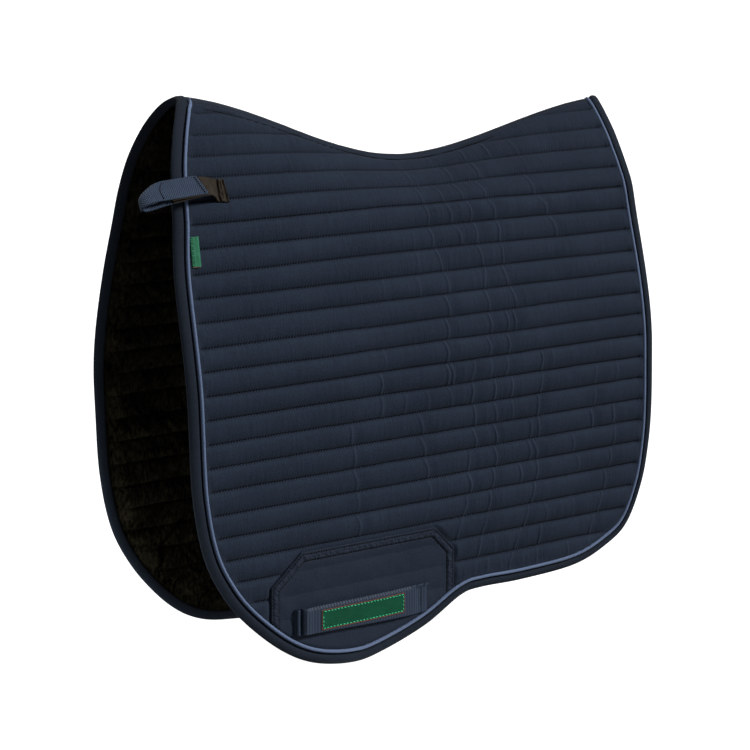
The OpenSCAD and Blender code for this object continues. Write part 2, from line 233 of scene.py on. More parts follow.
EDGE_FINE = edge_curve()
EDGE, EDGE_T, EDGE_S = even(EDGE_FINE, 1.0)
for _ in range(3):
    EDGE_T[1:-1] = (EDGE_T[:-2] + EDGE_T[1:-1] + EDGE_T[2:])/3
EDGE_T[0], EDGE_T[-1] = (0, 1), (0, -1)
EDGE_T /= np.linalg.norm(EDGE_T, axis=1, keepdims=True)
EDGE_N = np.stack([EDGE_T[:, 1], -EDGE_T[:, 0]], 1)
TREE = kdtree.KDTree(len(EDGE))
for _i, _p in enumerate(EDGE):
    TREE.insert((_p[0], _p[1], 0.0), _i)
TREE.balance()
_turn = int(np.argmin(EDGE[:, 0]))
_back = int(np.argmax(EDGE[:, 0]))
FRONT_PART, LOW_PART, REAR_PART = EDGE[:_turn + 1], EDGE[_turn:_back + 1], EDGE[_back:][::-1]


# how much nearer the edge the piping seam lies, by place along the edge
_nearer = [(-342, 125, 0), (-307, 515, 0.8), (-232, 585, 1.5), (-140, 613, 1.0), (-40, 589, 1.7), (40, 560, 3.2), (180, 557, 3.3),
           (262, 519, 3.4), (284, 475, 3.2), (298, 380, 1.6), (296, 200, 0.8), (293, 125, 0)]
NEARER = np.interp(EDGE_S, [EDGE_S[TREE.find((a, b, 0.0))[1]] for a, b, _ in _nearer], [c for _, _, c in _nearer])


def inside(x, v):
    f = np.interp(v, FRONT_PART[:, 1], FRONT_PART[:, 0])
    r = np.interp(v, REAR_PART[:, 1], REAR_PART[:, 0])
    b = np.interp(x, LOW_PART[:, 0], LOW_PART[:, 1])
    return (x > f) & (x < r) & (v < b)


def edge_distance(x, v):
    """Millimetres in from the bound edge; negative outside."""
    shape = np.shape(x)
    flat = np.stack([np.ravel(x), np.ravel(v)], 1)
    hits = [TREE.find((p[0], p[1], 0.0)) for p in flat.tolist()]
    d = np.array([h[2] for h in hits])
    d = d + NEARER[[h[1] for h in hits]]*smooth(d/12)
    return np.where(inside(flat[:, 0], flat[:, 1]), d, -d).reshape(shape)


# ---------------------------------------------------------------------------
# mesh builders
# ---------------------------------------------------------------------------


def flipped(points, side):
    p = np.array(points, float)*MM
    if side == "far":
        # this flap's lower front hangs a little higher than the near one's
        x, z = p[..., 0], p[..., 2]
        lift = 0.0105*smooth((x + 0.245)/0.085)*(1 - smooth((x + 0.10)/0.15)) - 0.0045*np.exp(-((x + 0.268)/0.03)**2)
        p[..., 2] = z + lift*smooth((-0.40 - z)/0.12)
        p[..., 1] *= -1
    return p


def make_mesh(name, points, faces, uv=None, bake=None, mats=(), index=None):
    """points in metres; faces an (n, 4) array or a list of tuples; uv per point."""
    me = bpy.data.meshes.new(name)
    if isinstance(faces, np.ndarray):
        n = len(faces)
        me.vertices.add(len(points))
        me.vertices.foreach_set("co", np.asarray(points, np.float32).ravel())
        me.loops.add(n*faces.shape[1])
        me.loops.foreach_set("vertex_index", faces.astype(np.int32).ravel())
        me.polygons.add(n)
        me.polygons.foreach_set("loop_start", np.arange(n, dtype=np.int32)*faces.shape[1])
        me.update(calc_edges=True)
    else:
        me.from_pydata([tuple(p) for p in np.asarray(points, float)], [], faces)
        me.update()
    loops = np.zeros(len(me.loops), np.int32)
    me.loops.foreach_get("vertex_index", loops)
    for label, data in (("pattern", uv), ("OFBake", bake)):
        if data is not None:
            layer = me.uv_layers.new(name=label)
            layer.data.foreach_set("uv", np.asarray(data, np.float32)[loops].ravel())
    me.polygons.foreach_set("use_smooth", np.ones(len(me.polygons), bool))
    for m in mats:
        me.materials.append(m)
    if index is not None:
        me.polygons.foreach_set("material_index", np.asarray(index, np.int32))
    me.validate()
    me.update()
    o = bpy.data.objects.new(name, me)
    bpy.context.scene.collection.objects.link(o)
    return o


def grid_object(name, pts, ok, side, uv, mat, inward=False):
    """A sheet from a grid of points in millimetres; cells with a point that isn't ok are left out."""
    rows, cols = ok.shape
    cell = ok[:-1, :-1] & ok[1:, :-1] & ok[1:, 1:] & ok[:-1, 1:]
    r, c = np.nonzero(cell)
    idx = np.arange(rows*cols).reshape(rows, cols)
    q = np.stack([idx[r, c], idx[r + 1, c], idx[r + 1, c + 1], idx[r, c + 1]], 1)
    if (side == "far") != inward:
        q = q[:, ::-1]
    used = np.unique(q)
    new = np.full(rows*cols, -1)
    new[used] = np.arange(len(used))
    p = flipped(pts.reshape(-1, 3)[used], side)
    u = np.asarray(uv, float).reshape(-1, 2)[used]
    lo, hi = u.min(0), u.max(0)
    bake = 0.01 + 0.98*(u - lo)/max(hi - lo)
    bake[:, 1] = 0.99 - (bake[:, 1] - 0.01)
    return make_mesh(name, p, new[q], u*MM, bake, [mat])


def swept_object(name, rings, side, uv, mat, caps=True):
    """A closed tube: rings is (stations, points round, 3) in millimetres."""
    n, m = rings.shape[:2]
    pts = rings.reshape(-1, 3)
    i, k = np.meshgrid(np.arange(n - 1), np.arange(m), indexing="ij")
    k2 = (k + 1) % m
    q = np.stack([i*m + k, i*m + k2, (i + 1)*m + k2, (i + 1)*m + k], -1).reshape(-1, 4)
    faces = [tuple(f) for f in q.tolist()]
    if caps:
        faces.append(tuple(range(m - 1, -1, -1)))
        faces.append(tuple((n - 1)*m + k for k in range(m)))
    p = flipped(pts, side)
    a, b, c = (p[list(f)] for f in (q[:, 0], q[:, 1], q[:, 2]))
    centre = np.repeat(rings.mean(1), m, 0).reshape(n, m, 3)
    mid = flipped(centre.reshape(-1, 3), side)[q[:, 0]]
    nrm = np.cross(b - a, c - a)
    if ((a - mid)*nrm).sum() < 0:
        faces = [f[::-1] for f in faces]
    return make_mesh(name, p, faces, np.asarray(uv, float).reshape(-1, 2)*MM, None, [mat])


def thread_points(path, normal, s, wfun, pitch, length, radius, lift, sides=5, start=0.5):
    """Stitches along a line in (x, v): rings of points in millimetres, (count, 4, sides, 3), as x, v, w."""
    n = int((s[-1] - s[0] - 2*start)/pitch)
    if n < 1:
        return np.zeros((0, 4, sides, 3))
    at = s[0] + start + pitch*np.arange(n)[:, None] + (pitch - length)/2 + length*np.array([0, 0.22, 0.78, 1.0])[None]
    x, v = np.interp(at, s, path[:, 0]), np.interp(at, s, path[:, 1])
    nx, nv = np.interp(at, s, normal[:, 0]), np.interp(at, s, normal[:, 1])
    w = wfun(x, v) + np.array([0.45, -lift, -lift, 0.45])[None]
    rad = radius*np.array([0.55, 1, 1, 0.55])[None]
    ang = TAU*np.arange(sides)/sides
    ca, sa = np.cos(ang)[None, None], np.sin(ang)[None, None]
    return np.stack([x[..., None] + (nx*rad)[..., None]*ca, v[..., None] + (nv*rad)[..., None]*ca,
                     w[..., None] - rad[..., None]*sa], -1)


def thread_object(name, sets, side, mat, place=None):
    """One mesh of all the stitches in sets."""
    st = np.concatenate([q for q in sets if len(q)], 0)
    n, rings, m = st.shape[:3]
    pts = (place or surf)(st[..., 0], st[..., 1], st[..., 2]).reshape(-1, 3)
    base = np.arange(n)[:, None, None]*rings*m
    i, k = np.meshgrid(np.arange(rings - 1), np.arange(m), indexing="ij")
    k2 = (k + 1) % m
    quad = np.stack([i*m + k, (i + 1)*m + k, (i + 1)*m + k2, i*m + k2], -1).reshape(1, -1, 4)
    q = (quad + base).reshape(-1, 4)
    first, last = np.arange(m), (rings - 1)*m + np.arange(m)[::-1]
    if side == "far":
        q, first, last = q[:, ::-1], first[::-1], last[::-1]
    faces = [tuple(f) for f in q.tolist()]
    for b in (np.arange(n)*rings*m).tolist():
        faces.append(tuple((first + b).tolist()))
        faces.append(tuple((last + b).tolist()))
    uv = np.stack([st[..., 0], st[..., 1] + 0.3*np.arange(m)[None, None]], -1).reshape(-1, 2)
    return make_mesh(name, flipped(pts, side), faces, uv*MM, None, [mat])


def ribbon_rings(path, across, normal, width, thick, lip=0.0, waves=None):
    """Rounded strip: path, across and normal are (n, 3); returns (n, m, 3) rings and uv in millimetres."""
    h, t = width/2, thick/2
    e = min(t, 0.9)
    top = [(-h + e, t)] + [(u*(h - e), t) for u in np.linspace(-0.86, 0.86, 9)] + [(h - e, t)]
    right = [(h - 0.25*e, 0.62*t), (h, 0), (h - 0.25*e, -0.62*t)]
    prof = np.array(top + right + [(a, -b) for a, b in top[::-1]] + [(-a, -b) for a, b in right])
    a, b = prof[:, 0], prof[:, 1].copy()
    if lip:
        b += np.sign(b)*lip*np.exp(-((h - np.abs(a) - 1.2)/1.0)**2)
    off = 0 if waves is None else waves(a)
    rings = path[:, None] + across[:, None]*a[None, :, None] + normal[:, None]*(b[None, :, None] + off)
    s = np.concatenate([[0], np.cumsum(np.linalg.norm(np.diff(path, axis=0), axis=1))])
    uv = np.stack(np.broadcast_arrays(s[:, None], a[None] + np.where(b < 0, 2.2*width, 0)[None]), -1)
    return rings, uv


def frames(path, across):
    t = np.gradient(path, axis=0)
    t /= np.linalg.norm(t, axis=1, keepdims=True)
    a = np.broadcast_to(np.asarray(across, float), path.shape).copy()
    a -= (a*t).sum(1, keepdims=True)*t
    a /= np.linalg.norm(a, axis=1, keepdims=True)
    return a, np.cross(t, a)


def spline(points, per=10):
    """Smooth curve through the points."""
    p = np.array(points, float)
    q = np.vstack([2*p[0] - p[1], p, 2*p[-1] - p[-2]])
    f = np.linspace(0, 1, per, endpoint=False)[:, None]
    out = []
    for i in range(1, len(q) - 2):
        a, b, c, d = q[i - 1], q[i], q[i + 1], q[i + 2]
        out.append(0.5*(2*b + (c - a)*f + (2*a - 5*b + 4*c - d)*f**2 + (3*b - a - 3*c + d)*f**3))
    return np.vstack(out + [p[-1:]])


# ---------------------------------------------------------------------------
# materials
# ---------------------------------------------------------------------------


def lin(r, g, b):
    """Linear colour of an sRGB colour given in 0 to 255."""
    f = lambda c: c/12.92 if c <= 0.04045 else ((c + 0.055)/1.055)**2.4
    return tuple(f(c/255) for c in (r, g, b)) + (1.0,)


class Mat:
    def __init__(self, name, rough=0.85, sheen=0.0, sheen_rough=0.4, spec=0.3):
        self.m = bpy.data.materials.new(name)
        self.m.use_nodes = True
        self.t = self.m.node_tree
        self.t.nodes.clear()
        self.out = self.node("ShaderNodeOutputMaterial")
        self.b = self.node("ShaderNodeBsdfPrincipled")
        self.t.links.new(self.b.outputs[0], self.out.inputs[0])
        self.b.inputs["Roughness"].default_value = rough
        self.b.inputs["Specular IOR Level"].default_value = spec
        self.b.inputs["Sheen Weight"].default_value = sheen
        self.b.inputs["Sheen Roughness"].default_value = sheen_rough
        u = self.node("ShaderNodeUVMap")
        u.uv_map = "pattern"
        self.uv = u.outputs[0]
        sep = self.node("ShaderNodeSeparateXYZ")
        self.t.links.new(self.uv, sep.inputs[0])
        self.x, self.y = sep.outputs[0], sep.outputs[1]

    def node(self, kind):
        return self.t.nodes.new(kind)

    def put(self, value, socket):
        if hasattr(value, "is_linked"):
            self.t.links.new(value, socket)
        else:
            socket.default_value = value

    def math(self, op, *args, clamp=False):
        n = self.node("ShaderNodeMath")
        n.operation = op
        n.use_clamp = clamp
        for i, a in enumerate(args):
            self.put(a, n.inputs[i])
        return n.outputs[0]

    def add(self, a, b):
        return self.math("ADD", a, b)

    def mul(self, a, b):
        return self.math("MULTIPLY", a, b)

    def wave(self, fx, fy, phase=0.0):
        """0 to 1 wave with fx and fy cycles a metre along the cloth."""
        p = self.math("MULTIPLY_ADD", self.x, TAU*fx, self.math("MULTIPLY_ADD", self.y, TAU*fy, phase))
        return self.math("MULTIPLY_ADD", self.math("SINE", p), 0.5, 0.5)

    def warp(self, amount, scale):
        """Shift the cloth coordinates a little, so that woven lines aren't ruled."""
        n = self.node("ShaderNodeTexNoise")
        n.inputs["Scale"].default_value = scale
        n.inputs["Detail"].default_value = 1
        self.t.links.new(self.uv, n.inputs["Vector"])
        s = self.node("ShaderNodeSeparateColor")
        self.t.links.new(n.outputs["Color"], s.inputs[0])
        self.x = self.math("MULTIPLY_ADD", s.outputs[0], amount, self.x)
        self.y = self.math("MULTIPLY_ADD", s.outputs[1], amount, self.y)

    def noise(self, sx, sy, detail=2.0, rough=0.5, seed=0.0):
        """0 to 1 noise with sx and sy cells a metre."""
        c = self.node("ShaderNodeCombineXYZ")
        self.put(self.mul(self.x, sx), c.inputs[0])
        self.put(self.mul(self.y, sy), c.inputs[1])
        c.inputs[2].default_value = seed
        n = self.node("ShaderNodeTexNoise")
        n.inputs["Scale"].default_value = 1.0
        n.inputs["Detail"].default_value = detail
        n.inputs["Roughness"].default_value = rough
        self.t.links.new(c.outputs[0], n.inputs["Vector"])
        return n.outputs[0]

    def spread(self, value, low, high, to_low=0.0, to_high=1.0):
        n = self.node("ShaderNodeMapRange")
        n.clamp = True
        self.put(value, n.inputs[0])
        for i, q in enumerate((low, high, to_low, to_high), 1):
            n.inputs[i].default_value = q
        return n.outputs[0]

    def colour(self, factor, dark, light):
        n = self.node("ShaderNodeMix")
        n.data_type = "RGBA"
        self.put(factor, n.inputs[0])
        self.put(dark, n.inputs[6])
        self.put(light, n.inputs[7])
        return n.outputs[2]

    def base(self, colour):
        self.put(colour, self.b.inputs["Base Color"])

    def rough(self, value):
        self.put(value, self.b.inputs["Roughness"])

    def bump(self, *layers):
        """Each layer is (height 0 to 1, distance in metres, strength)."""
        last = None
        for height, distance, strength in layers:
            n = self.node("ShaderNodeBump")
            n.inputs["Strength"].default_value = strength
            n.inputs["Distance"].default_value = distance
            self.put(height, n.inputs["Height"])
            if last is not None:
                self.t.links.new(last, n.inputs["Normal"])
            last = n.outputs[0]
        self.t.links.new(last, self.b.inputs["Normal"])
        return self.m


def twill(name, dark, light, pitch=0.0011, streak=0.5, rough=0.88, sheen=0.02, steep=2.1, seam_holes_and_row_shade=False):
    """Woven cotton twill: steep diagonal ribs crossed by the weft, streaked along the warp."""
    m = Mat(name, rough=rough, sheen=sheen, sheen_rough=0.45, spec=0.12)
    y0, x0 = m.y, m.x
    m.warp(0.0009, 160)
    f = 1/pitch
    rib = m.wave(f*0.9, f*0.9/steep)
    weft = m.wave(0, f*1.35)
    weave = m.math("MULTIPLY", rib, m.math("MULTIPLY_ADD", weft, 0.45, 0.55))
    warp = m.noise(360, 34, 2.5, 0.6, 3.0)
    grain = m.noise(1500, 1500, 2.0, 0.6, 7.0)
    slub = m.noise(620, 400, 2.0, 0.7, 5.0)
    broad = m.noise(13, 17, 3.0, 0.55, 11.0)
    tone = m.math("MULTIPLY_ADD", weave, 0.24, m.mul(warp, streak))
    tone = m.math("MULTIPLY_ADD", grain, 0.22, tone)
    tone = m.math("MULTIPLY_ADD", slub, 0.78, tone)
    tone = m.math("MULTIPLY_ADD", broad, 0.34, tone)
    total = 0.24*0.4 + (streak + 0.22 + 0.78 + 0.34)*0.5
    base = m.colour(m.spread(tone, total - 0.34, total + 0.34), dark, light)
    if seam_holes_and_row_shade:
        # thread holes along each line of quilting, darkened further by painted shade in the furrow of the line
        off = m.math("ABSOLUTE", m.math("SUBTRACT", m.math("FRACT", m.math("MULTIPLY_ADD", y0, 1/0.025, 0.5)), 0.5))
        near = m.spread(off, 0.015, 0.10, 1.0, 0.0)
        stitch = m.math("MULTIPLY_ADD", m.math("SINE", m.math("MULTIPLY_ADD", x0, TAU/0.0036, -math.pi/2)), 0.5, 0.5)
        holes_and_furrow_shade = m.math("MULTIPLY", near, m.math("MULTIPLY_ADD", m.math("POWER", stitch, 1.3), 0.60, 0.04))
        # painted highlight on the shoulder below each line of quilting, and painted shade on the belly above the next
        # one, as light from above would fall on each row
        down = m.math("FRACT", m.math("MULTIPLY", y0, 1/0.025))
        base = m.colour(m.spread(down, 0.07, 0.32, 0.20, 0.0), base, tuple(min(1, c*1.1) for c in light[:3]) + (1,))
        base = m.colour(m.spread(down, 0.58, 0.93, 0.0, 0.17), base, (dark[0]*0.2, dark[1]*0.2, dark[2]*0.2, 1))
        # painted shade: the furrow of each quilting line darkened with the thread holes
        base = m.colour(holes_and_furrow_shade, base, (dark[0]*0.16, dark[1]*0.16, dark[2]*0.18, 1))
    m.base(base)
    m.rough(m.spread(m.math("MULTIPLY_ADD", weave, 0.5, m.mul(broad, 0.5)), 0.15, 0.75, rough + 0.07, rough - 0.09))
    return m.bump((weave, 0.00022, 0.55), (slub, 0.0006, 0.6), (warp, 0.00034, 0.4), (grain, 0.00012, 0.35))


def webbing(name, dark, light, pitch=0.0021, rough=0.62, kind="diamond"):
    """Narrow woven webbing: crossed diagonal floats, or ribs across the strip."""
    m = Mat(name, rough=rough, sheen=0.02, spec=0.22)
    m.warp(0.0004, 210)
    f = 1/pitch
    if kind == "diamond":
        one, two = m.wave(f*0.72, f*0.72), m.wave(f*0.72, -f*0.72, 0.6)
        weave = m.math("MULTIPLY_ADD", m.mul(one, two), 1.5, m.mul(m.wave(f*1.44, 0), 0.12))
    else:
        rib = m.wave(f, 0)
        weave = m.math("MULTIPLY_ADD", rib, 0.75, m.mul(m.wave(f*0.5, f*1.2), 0.28))
    grain = m.noise(1300, 1300, 2.0, 0.6, 5.0)
    broad = m.noise(60, 60, 2.0, 0.5, 2.0)
    tone = m.math("MULTIPLY_ADD", grain, 0.35, m.mul(weave, 0.8))
    tone = m.math("MULTIPLY_ADD", broad, 0.35, tone)
    m.base(m.colour(m.spread(tone, 0.34, 1.02), dark, light))
    m.rough(m.spread(weave, 0.1, 1.0, rough + 0.16, rough - 0.08))
    return m.bump((weave, 0.00045, 0.7), (grain, 0.00012, 0.35))


def plush(name, dark, light):
    """Short pile fleece: tufts that lean every way and catch a little light."""
    m = Mat(name, rough=0.95, sheen=0.008, sheen_rough=0.35, spec=0.01)
    tuft = m.noise(330, 120, 4.0, 0.65, 1.0)
    fine = m.noise(1700, 900, 2.0, 0.6, 4.0)
    broad = m.noise(22, 30, 3.0, 0.6, 9.0)
    tone = m.math("MULTIPLY_ADD", tuft, 0.75, m.mul(fine, 0.55))
    tone = m.math("MULTIPLY_ADD", broad, 0.5, tone)
    m.base(m.colour(m.spread(tone, 0.79, 1.17), dark, light))
    m.rough(m.spread(tuft, 0.3, 0.7, 1.0, 0.88))
    return m.bump((tuft, 0.0016, 0.8), (fine, 0.0006, 0.7))


def hook_cloth(name, dark, light):
    """Hook-and-loop tape: a nap of tiny loops in close rows."""
    m = Mat(name, rough=0.9, sheen=0.02, spec=0.08)
    row = m.wave(900, 60)
    nap = m.noise(1500, 1500, 3.0, 0.7, 2.0)
    blot = m.noise(180, 120, 2.0, 0.6, 6.0)
    tone = m.math("MULTIPLY_ADD", nap, 0.7, m.mul(row, 0.2))
    tone = m.math("MULTIPLY_ADD", blot, 0.55, tone)
    m.base(m.colour(m.spread(tone, 0.42, 0.98), dark, light))
    m.rough(m.spread(nap, 0.3, 0.7, 1.0, 0.8))
    return m.bump((nap, 0.0006, 0.8), (row, 0.0002, 0.4))


def thread(name, dark, light, fx=0.0, fy=2600.0, rough=0.6):
    """Twisted sewing thread."""
    m = Mat(name, rough=rough, sheen=0.0, spec=0.15)
    ply = m.wave(1500, 1500)
    lint = m.noise(900, 900, 2.0, 0.6, 3.0)
    m.base(m.colour(m.spread(m.math("MULTIPLY_ADD", ply, 0.5, m.mul(lint, 0.6)), 0.2, 0.9), dark, light))
    m.rough(m.spread(ply, 0, 1, rough + 0.15, rough - 0.1))
    return m.bump((ply, 0.00012, 0.6))


def satin(name, dark, light):
    """Woven label: close weft floats with a slight shine."""
    m = Mat(name, rough=0.62, sheen=0.0, spec=0.06)
    m.warp(0.0003, 250)
    weft = m.wave(60, 2100)
    warp = m.wave(1900, 0)
    grain = m.noise(900, 1400, 3.0, 0.65, 2.0)
    broad = m.noise(40, 60, 2.0, 0.5, 8.0)
    weave = m.mul(weft, m.math("MULTIPLY_ADD", warp, 0.4, 0.6))
    tone = m.math("MULTIPLY_ADD", grain, 0.5, m.mul(weave, 0.45))
    tone = m.math("MULTIPLY_ADD", broad, 0.4, tone)
    m.base(m.colour(m.spread(tone, 0.36, 0.95), dark, light))
    m.rough(m.spread(weave, 0, 1, 0.66, 0.46))
    return m.bump((weave, 0.00018, 0.6), (grain, 0.0001, 0.4))


# the cover's colour carries painted shade and highlight along its rows of quilting
M_COVER = twill("cover_twill", lin(19.3, 26.9, 38.5), lin(38.6, 48.3, 64.3), seam_holes_and_row_shade=True)
M_PATCH = twill("patch_cloth", lin(21.2, 28.7, 40.7), lin(36, 45.8, 61), pitch=0.0009, streak=0.22, rough=0.74, steep=1.3)
M_BIND = twill("binding_twill", lin(18.2, 24.4, 33.6), lin(32, 39.8, 52.4), pitch=0.0009, streak=0.25, rough=0.82, steep=-1.0)
M_TAPE = twill("spine_tape_twill", lin(25, 31, 42), lin(39, 46.5, 60), pitch=0.0010, streak=0.25, rough=0.82, steep=1.0)
M_PIPE = twill("piping_cord_cloth", lin(82, 96, 124), lin(103, 119, 149), pitch=0.0008, streak=0.3, rough=0.66, sheen=0.05, steep=-1.2)
M_WEB = webbing("billet_webbing", lin(18.5, 26.5, 39), lin(55, 72.5, 98))
M_KEEPER = webbing("keeper_webbing", lin(27.4, 36.2, 50), lin(41.6, 53.8, 72.5), pitch=0.0038, kind="rib")
M_LINING = plush("lining_plush", lin(0.3, 0.3, 0.2), lin(42, 39.5, 28.7))
M_HOOK = hook_cloth("hook_tape", lin(20, 17, 14), lin(61.5, 54.6, 46.6))
M_SEAM = thread("quilting_thread", lin(15, 19, 27), lin(38, 46, 60))
M_STITCH = thread("navy_thread", lin(20, 24, 33), lin(48, 56, 71))
M_PATCH_THREAD = thread("patch_thread", lin(5, 6.5, 10), lin(17, 21, 28))
M_LABEL = satin("label_satin", lin(3, 54, 36), lin(20, 86, 60))
M_FLAG = satin("flag_satin", lin(22, 84, 58), lin(70, 138, 106))
M_LABEL_THREAD = thread("label_thread", lin(24, 150, 104), lin(86, 214, 166))
M_LABEL_EDGE = thread("label_edge", lin(76, 40, 30), lin(132, 80, 62))
M_FLAG_THREAD = thread("flag_thread", lin(16, 66, 46), lin(52, 116, 88))
M_BLACK_THREAD = thread("dark_thread", lin(4, 5, 7), lin(16, 18, 22))
M_INNER_TAPE = twill("inner_tape_cloth", lin(7, 7, 7), lin(18, 17, 16), pitch=0.001, streak=0.2, rough=0.9, steep=1.0)

# ---------------------------------------------------------------------------
# quilting
# ---------------------------------------------------------------------------
PATCH = [(-250, 513), (-210, 480), (-29, 480), (-2, 507)]


def patch_inside(x, v):
    """Millimetres in from the sewn sides of the girth patch; negative outside."""
    d = [x + 250, v - 480, -2 - x]
    for (x0, v0), (x1, v1) in ((PATCH[0], PATCH[1]), (PATCH[2], PATCH[3])):
        n = math.hypot(x1 - x0, v1 - v0)
        nx, nv = -(v1 - v0)/n, (x1 - x0)/n
        d.append((x - x0)*nx + (v - v0)*nv)
    return np.minimum.reduce(d)


def seam_shift(x, v, seed):
    """The quilting lines wander by a fraction of a millimetre."""
    k = np.floor(v/PITCH)
    f = v/PITCH - k
    a = vnoise(x/85, k*3.0, seed) + 0.45*vnoise(x/23, k*3.0 + 1, seed + 5)
    b = vnoise(x/85, (k + 1)*3.0, seed) + 0.45*vnoise(x/23, (k + 1)*3.0 + 1, seed + 5)
    return 0.55*((1 - f)*a + f*b)


def tape_half(x):
    """Half the width of the outer spine tape."""
    return 6 + 9*(1 - smooth((x + 285)/230))


def tape_gap(x, v):
    """Millimetres from the spine along the cloth."""
    return v - (FOLD_V - arc(x))


def row_drop(x, v):
    """How far below its even place a line of quilting lies on the crown."""
    front = np.interp(v, [-30, 0, 25, 50, 75, 100, 125], [8.5, 8.3, 7.3, 5.0, 2.6, 1.0, 0.0])*(1 - smooth((x + 170)/140))
    rear = (2.5 + 2.5*(1 - smooth(v/50)))*(1 - smooth((v - 150)/100))*smooth((x - 60)/200)
    return front + rear


def cover_depth(x, v, e, seed):
    """Depth w of the outer face without its puckers."""
    k = np.floor(v/PITCH + 1e-7)
    r = np.clip(v/PITCH - k, 0, 1)
    full = 1 + 0.14*vnoise(x/120, k*2.0, seed + 1) + 0.07*vnoise(x/31, k*2.0, seed + 2)
    arch = 13.4*r*(1 - r) + 1.4*(1 - np.exp(-r/0.10))*(1 - r)
    off = np.minimum(r, 1 - r)*PITCH
    groove = 0.35*np.exp(-(off/1.1)**2) + 0.7*np.exp(-(off/0.42)**2)
    notch = 0.55*np.cos(TAU*x/3.6)*np.exp(-(off/2.1)**1.5)
    dents = 0.20*vnoise(x/17, v/9, seed + 3)*np.sin(np.pi*r) + 0.09*vnoise(x/5, v/16, seed + 4)*np.sin(np.pi*r)
    w = 1.75 - full*arch + groove - notch + dents
    gap = tape_gap(x, v + row_drop(x, v))
    w = mix(mix(2.4, -1.7, smooth((e - 14.4)/2.0)), w, smooth((e - 16.5)/9.0))
    gap = gap - tape_half(x)
    w = mix(0.25, w, smooth((gap - 3.5)/9)) + 1.4*(1 - 0.7*smooth((x - 95)/60))*np.exp(-((gap - 3.0)/1.2)**2)
    press = smooth((patch_inside(x, v) + 6)/6)
    return mix(w, 1.1 + 0.16*w, press)


# puckers: standing creases in each row of quilting, (x at the upper line, x at the lower line, size 1 to 3)
CREASES = {
    2: [(-186, -183, 1), (-27, -25, 1), (21, 24, 1), (66, 70, 2), (98, 103, 2), (134, 140, 1)],
    3: [(-118, -114, 1), (-22, -20, 1), (33, 36, 2), (72, 74, 2)],
    4: [(-23, -19, 2), (3, 10, 2), (30, 38, 2), (62, 70, 2), (134, 140, 2)],
    5: [(-19, -16, 2), (9, 17, 2), (40, 45, 2), (70, 79, 2), (141, 155, 2)],
    6: [(-42, -40, 1), (-19, -12, 2), (16, 27, 2), (46, 49, 2), (80, 82, 2), (156, 166, 2)],
    7: [(-39, -37, 1), (-13, -4, 2), (46, 53, 2), (80, 82, 2)],
    8: [(-91, -89, 1), (-44, -41, 1), (-4, 0, 2), (54, 51, 2), (76, 84, 2)],
    9: [(-9, -3, 2), (49, 53, 2), (87, 92, 2)],
    10: [(-10, -8, 2), (51, 52, 2), (76, 77, 2), (87, 88, 2)],
    11: [(-100, -98, 1), (-16, -12, 3), (44, 49, 2), (74, 76, 2)],
    12: [(-107, -103, 3), (-15, -11, 2), (-8, -4, 2), (26, 23, 2), (47, 49, 1), (71, 72, 2), (124, 124, 3)],
    13: [(-104, -103, 2), (-71, -71, 1), (-43, -39, 1), (-13, -6, 1), (23, 23, 3), (54, 55, 3), (78, 80, 2), (124, 123, 2), (206, 206, 1), (239, 239, 1)],
    14: [(-146, -144, 2), (-55, -47, 2), (25, 27, 3), (53, 58, 2), (79, 83, 1), (120, 119, 3), (205, 205, 1)],
    15: [(-142, -140, 2), (-53, -44, 2), (22, 28, 2), (53, 59, 3), (110, 109, 2), (121, 121, 2), (199, 202, 3), (234, 235, 3)],
    16: [(-141, -137, 2), (-45, -39, 2), (21, 18, 3), (55, 58, 3), (104, 107, 2), (112, 118, 2), (171, 173, 1), (238, 234, 2)],
    17: [(-136, -136, 1), (-39, -36, 1), (16, 22, 3), (55, 54, 3), (92, 95, 2), (120, 119, 2), (178, 181, 1), (231, 229, 2)],
    18: [(-138, -133, 2), (-40, -43, 1), (17, 12, 3), (50, 48, 3), (117, 112, 3), (223, 222, 2)],
    19: [(10, 3, 3), (47, 39, 3), (107, 101, 3), (129, 134, 1), (171, 173, 1), (220, 213, 2)],
    20: [(38, 33, 3), (55, 58, 1), (97, 87, 3), (125, 123, 3), (207, 200, 3)],
    21: [(31, 27, 1), (49, 45, 1), (84, 77, 3), (120, 118, 2), (165, 166, 1), (199, 196, 1)],
    22: [(22, 19, 1), (60, 57, 1)],
}
FAR_CREASES = {k + 1: [(23 - b, 23 - a, h) for a, b, h in rows if a > -90] for k, rows in CREASES.items()}


def crease_rows(seed, creases):
    """Creases in each row: (row, x at the upper line, x at the lower line, height, width)."""
    g = np.random.default_rng(seed)
    rows = []
    for k, line in creases.items():
        for xa, xb, h in line:
            rows.append((k, xa + g.normal(0, 0.4), xb + g.normal(0, 0.4), (0.75, 1.45, 1.95)[h - 1]*g.uniform(0.88, 1.12), g.uniform(0.92, 1.1)))
    for k in range(-1, 24):
        x = -330.0
        while x < 285:
            mid = math.exp(-((x - 45)/110)**2)
            x += g.exponential(9 + 22*(1 - mid)) + 5
            h = g.uniform(0.06, 0.26)*(0.35 + 0.65*mid)
            lean = g.normal(1.5, 2.5)
            rows.append((k, x - lean/2, x + lean/2, h, g.uniform(0.7, 1.3)))
    return rows


def crease_shape(s):
    """A tuck across the row: a short front, a longer back that dips below the row, then a slow return."""
    return 0.48*smooth((s + 1.7)/1.9) - 1.25*smooth((s - 0.2)/4.4) + 0.77*smooth((s - 4.4)/15)


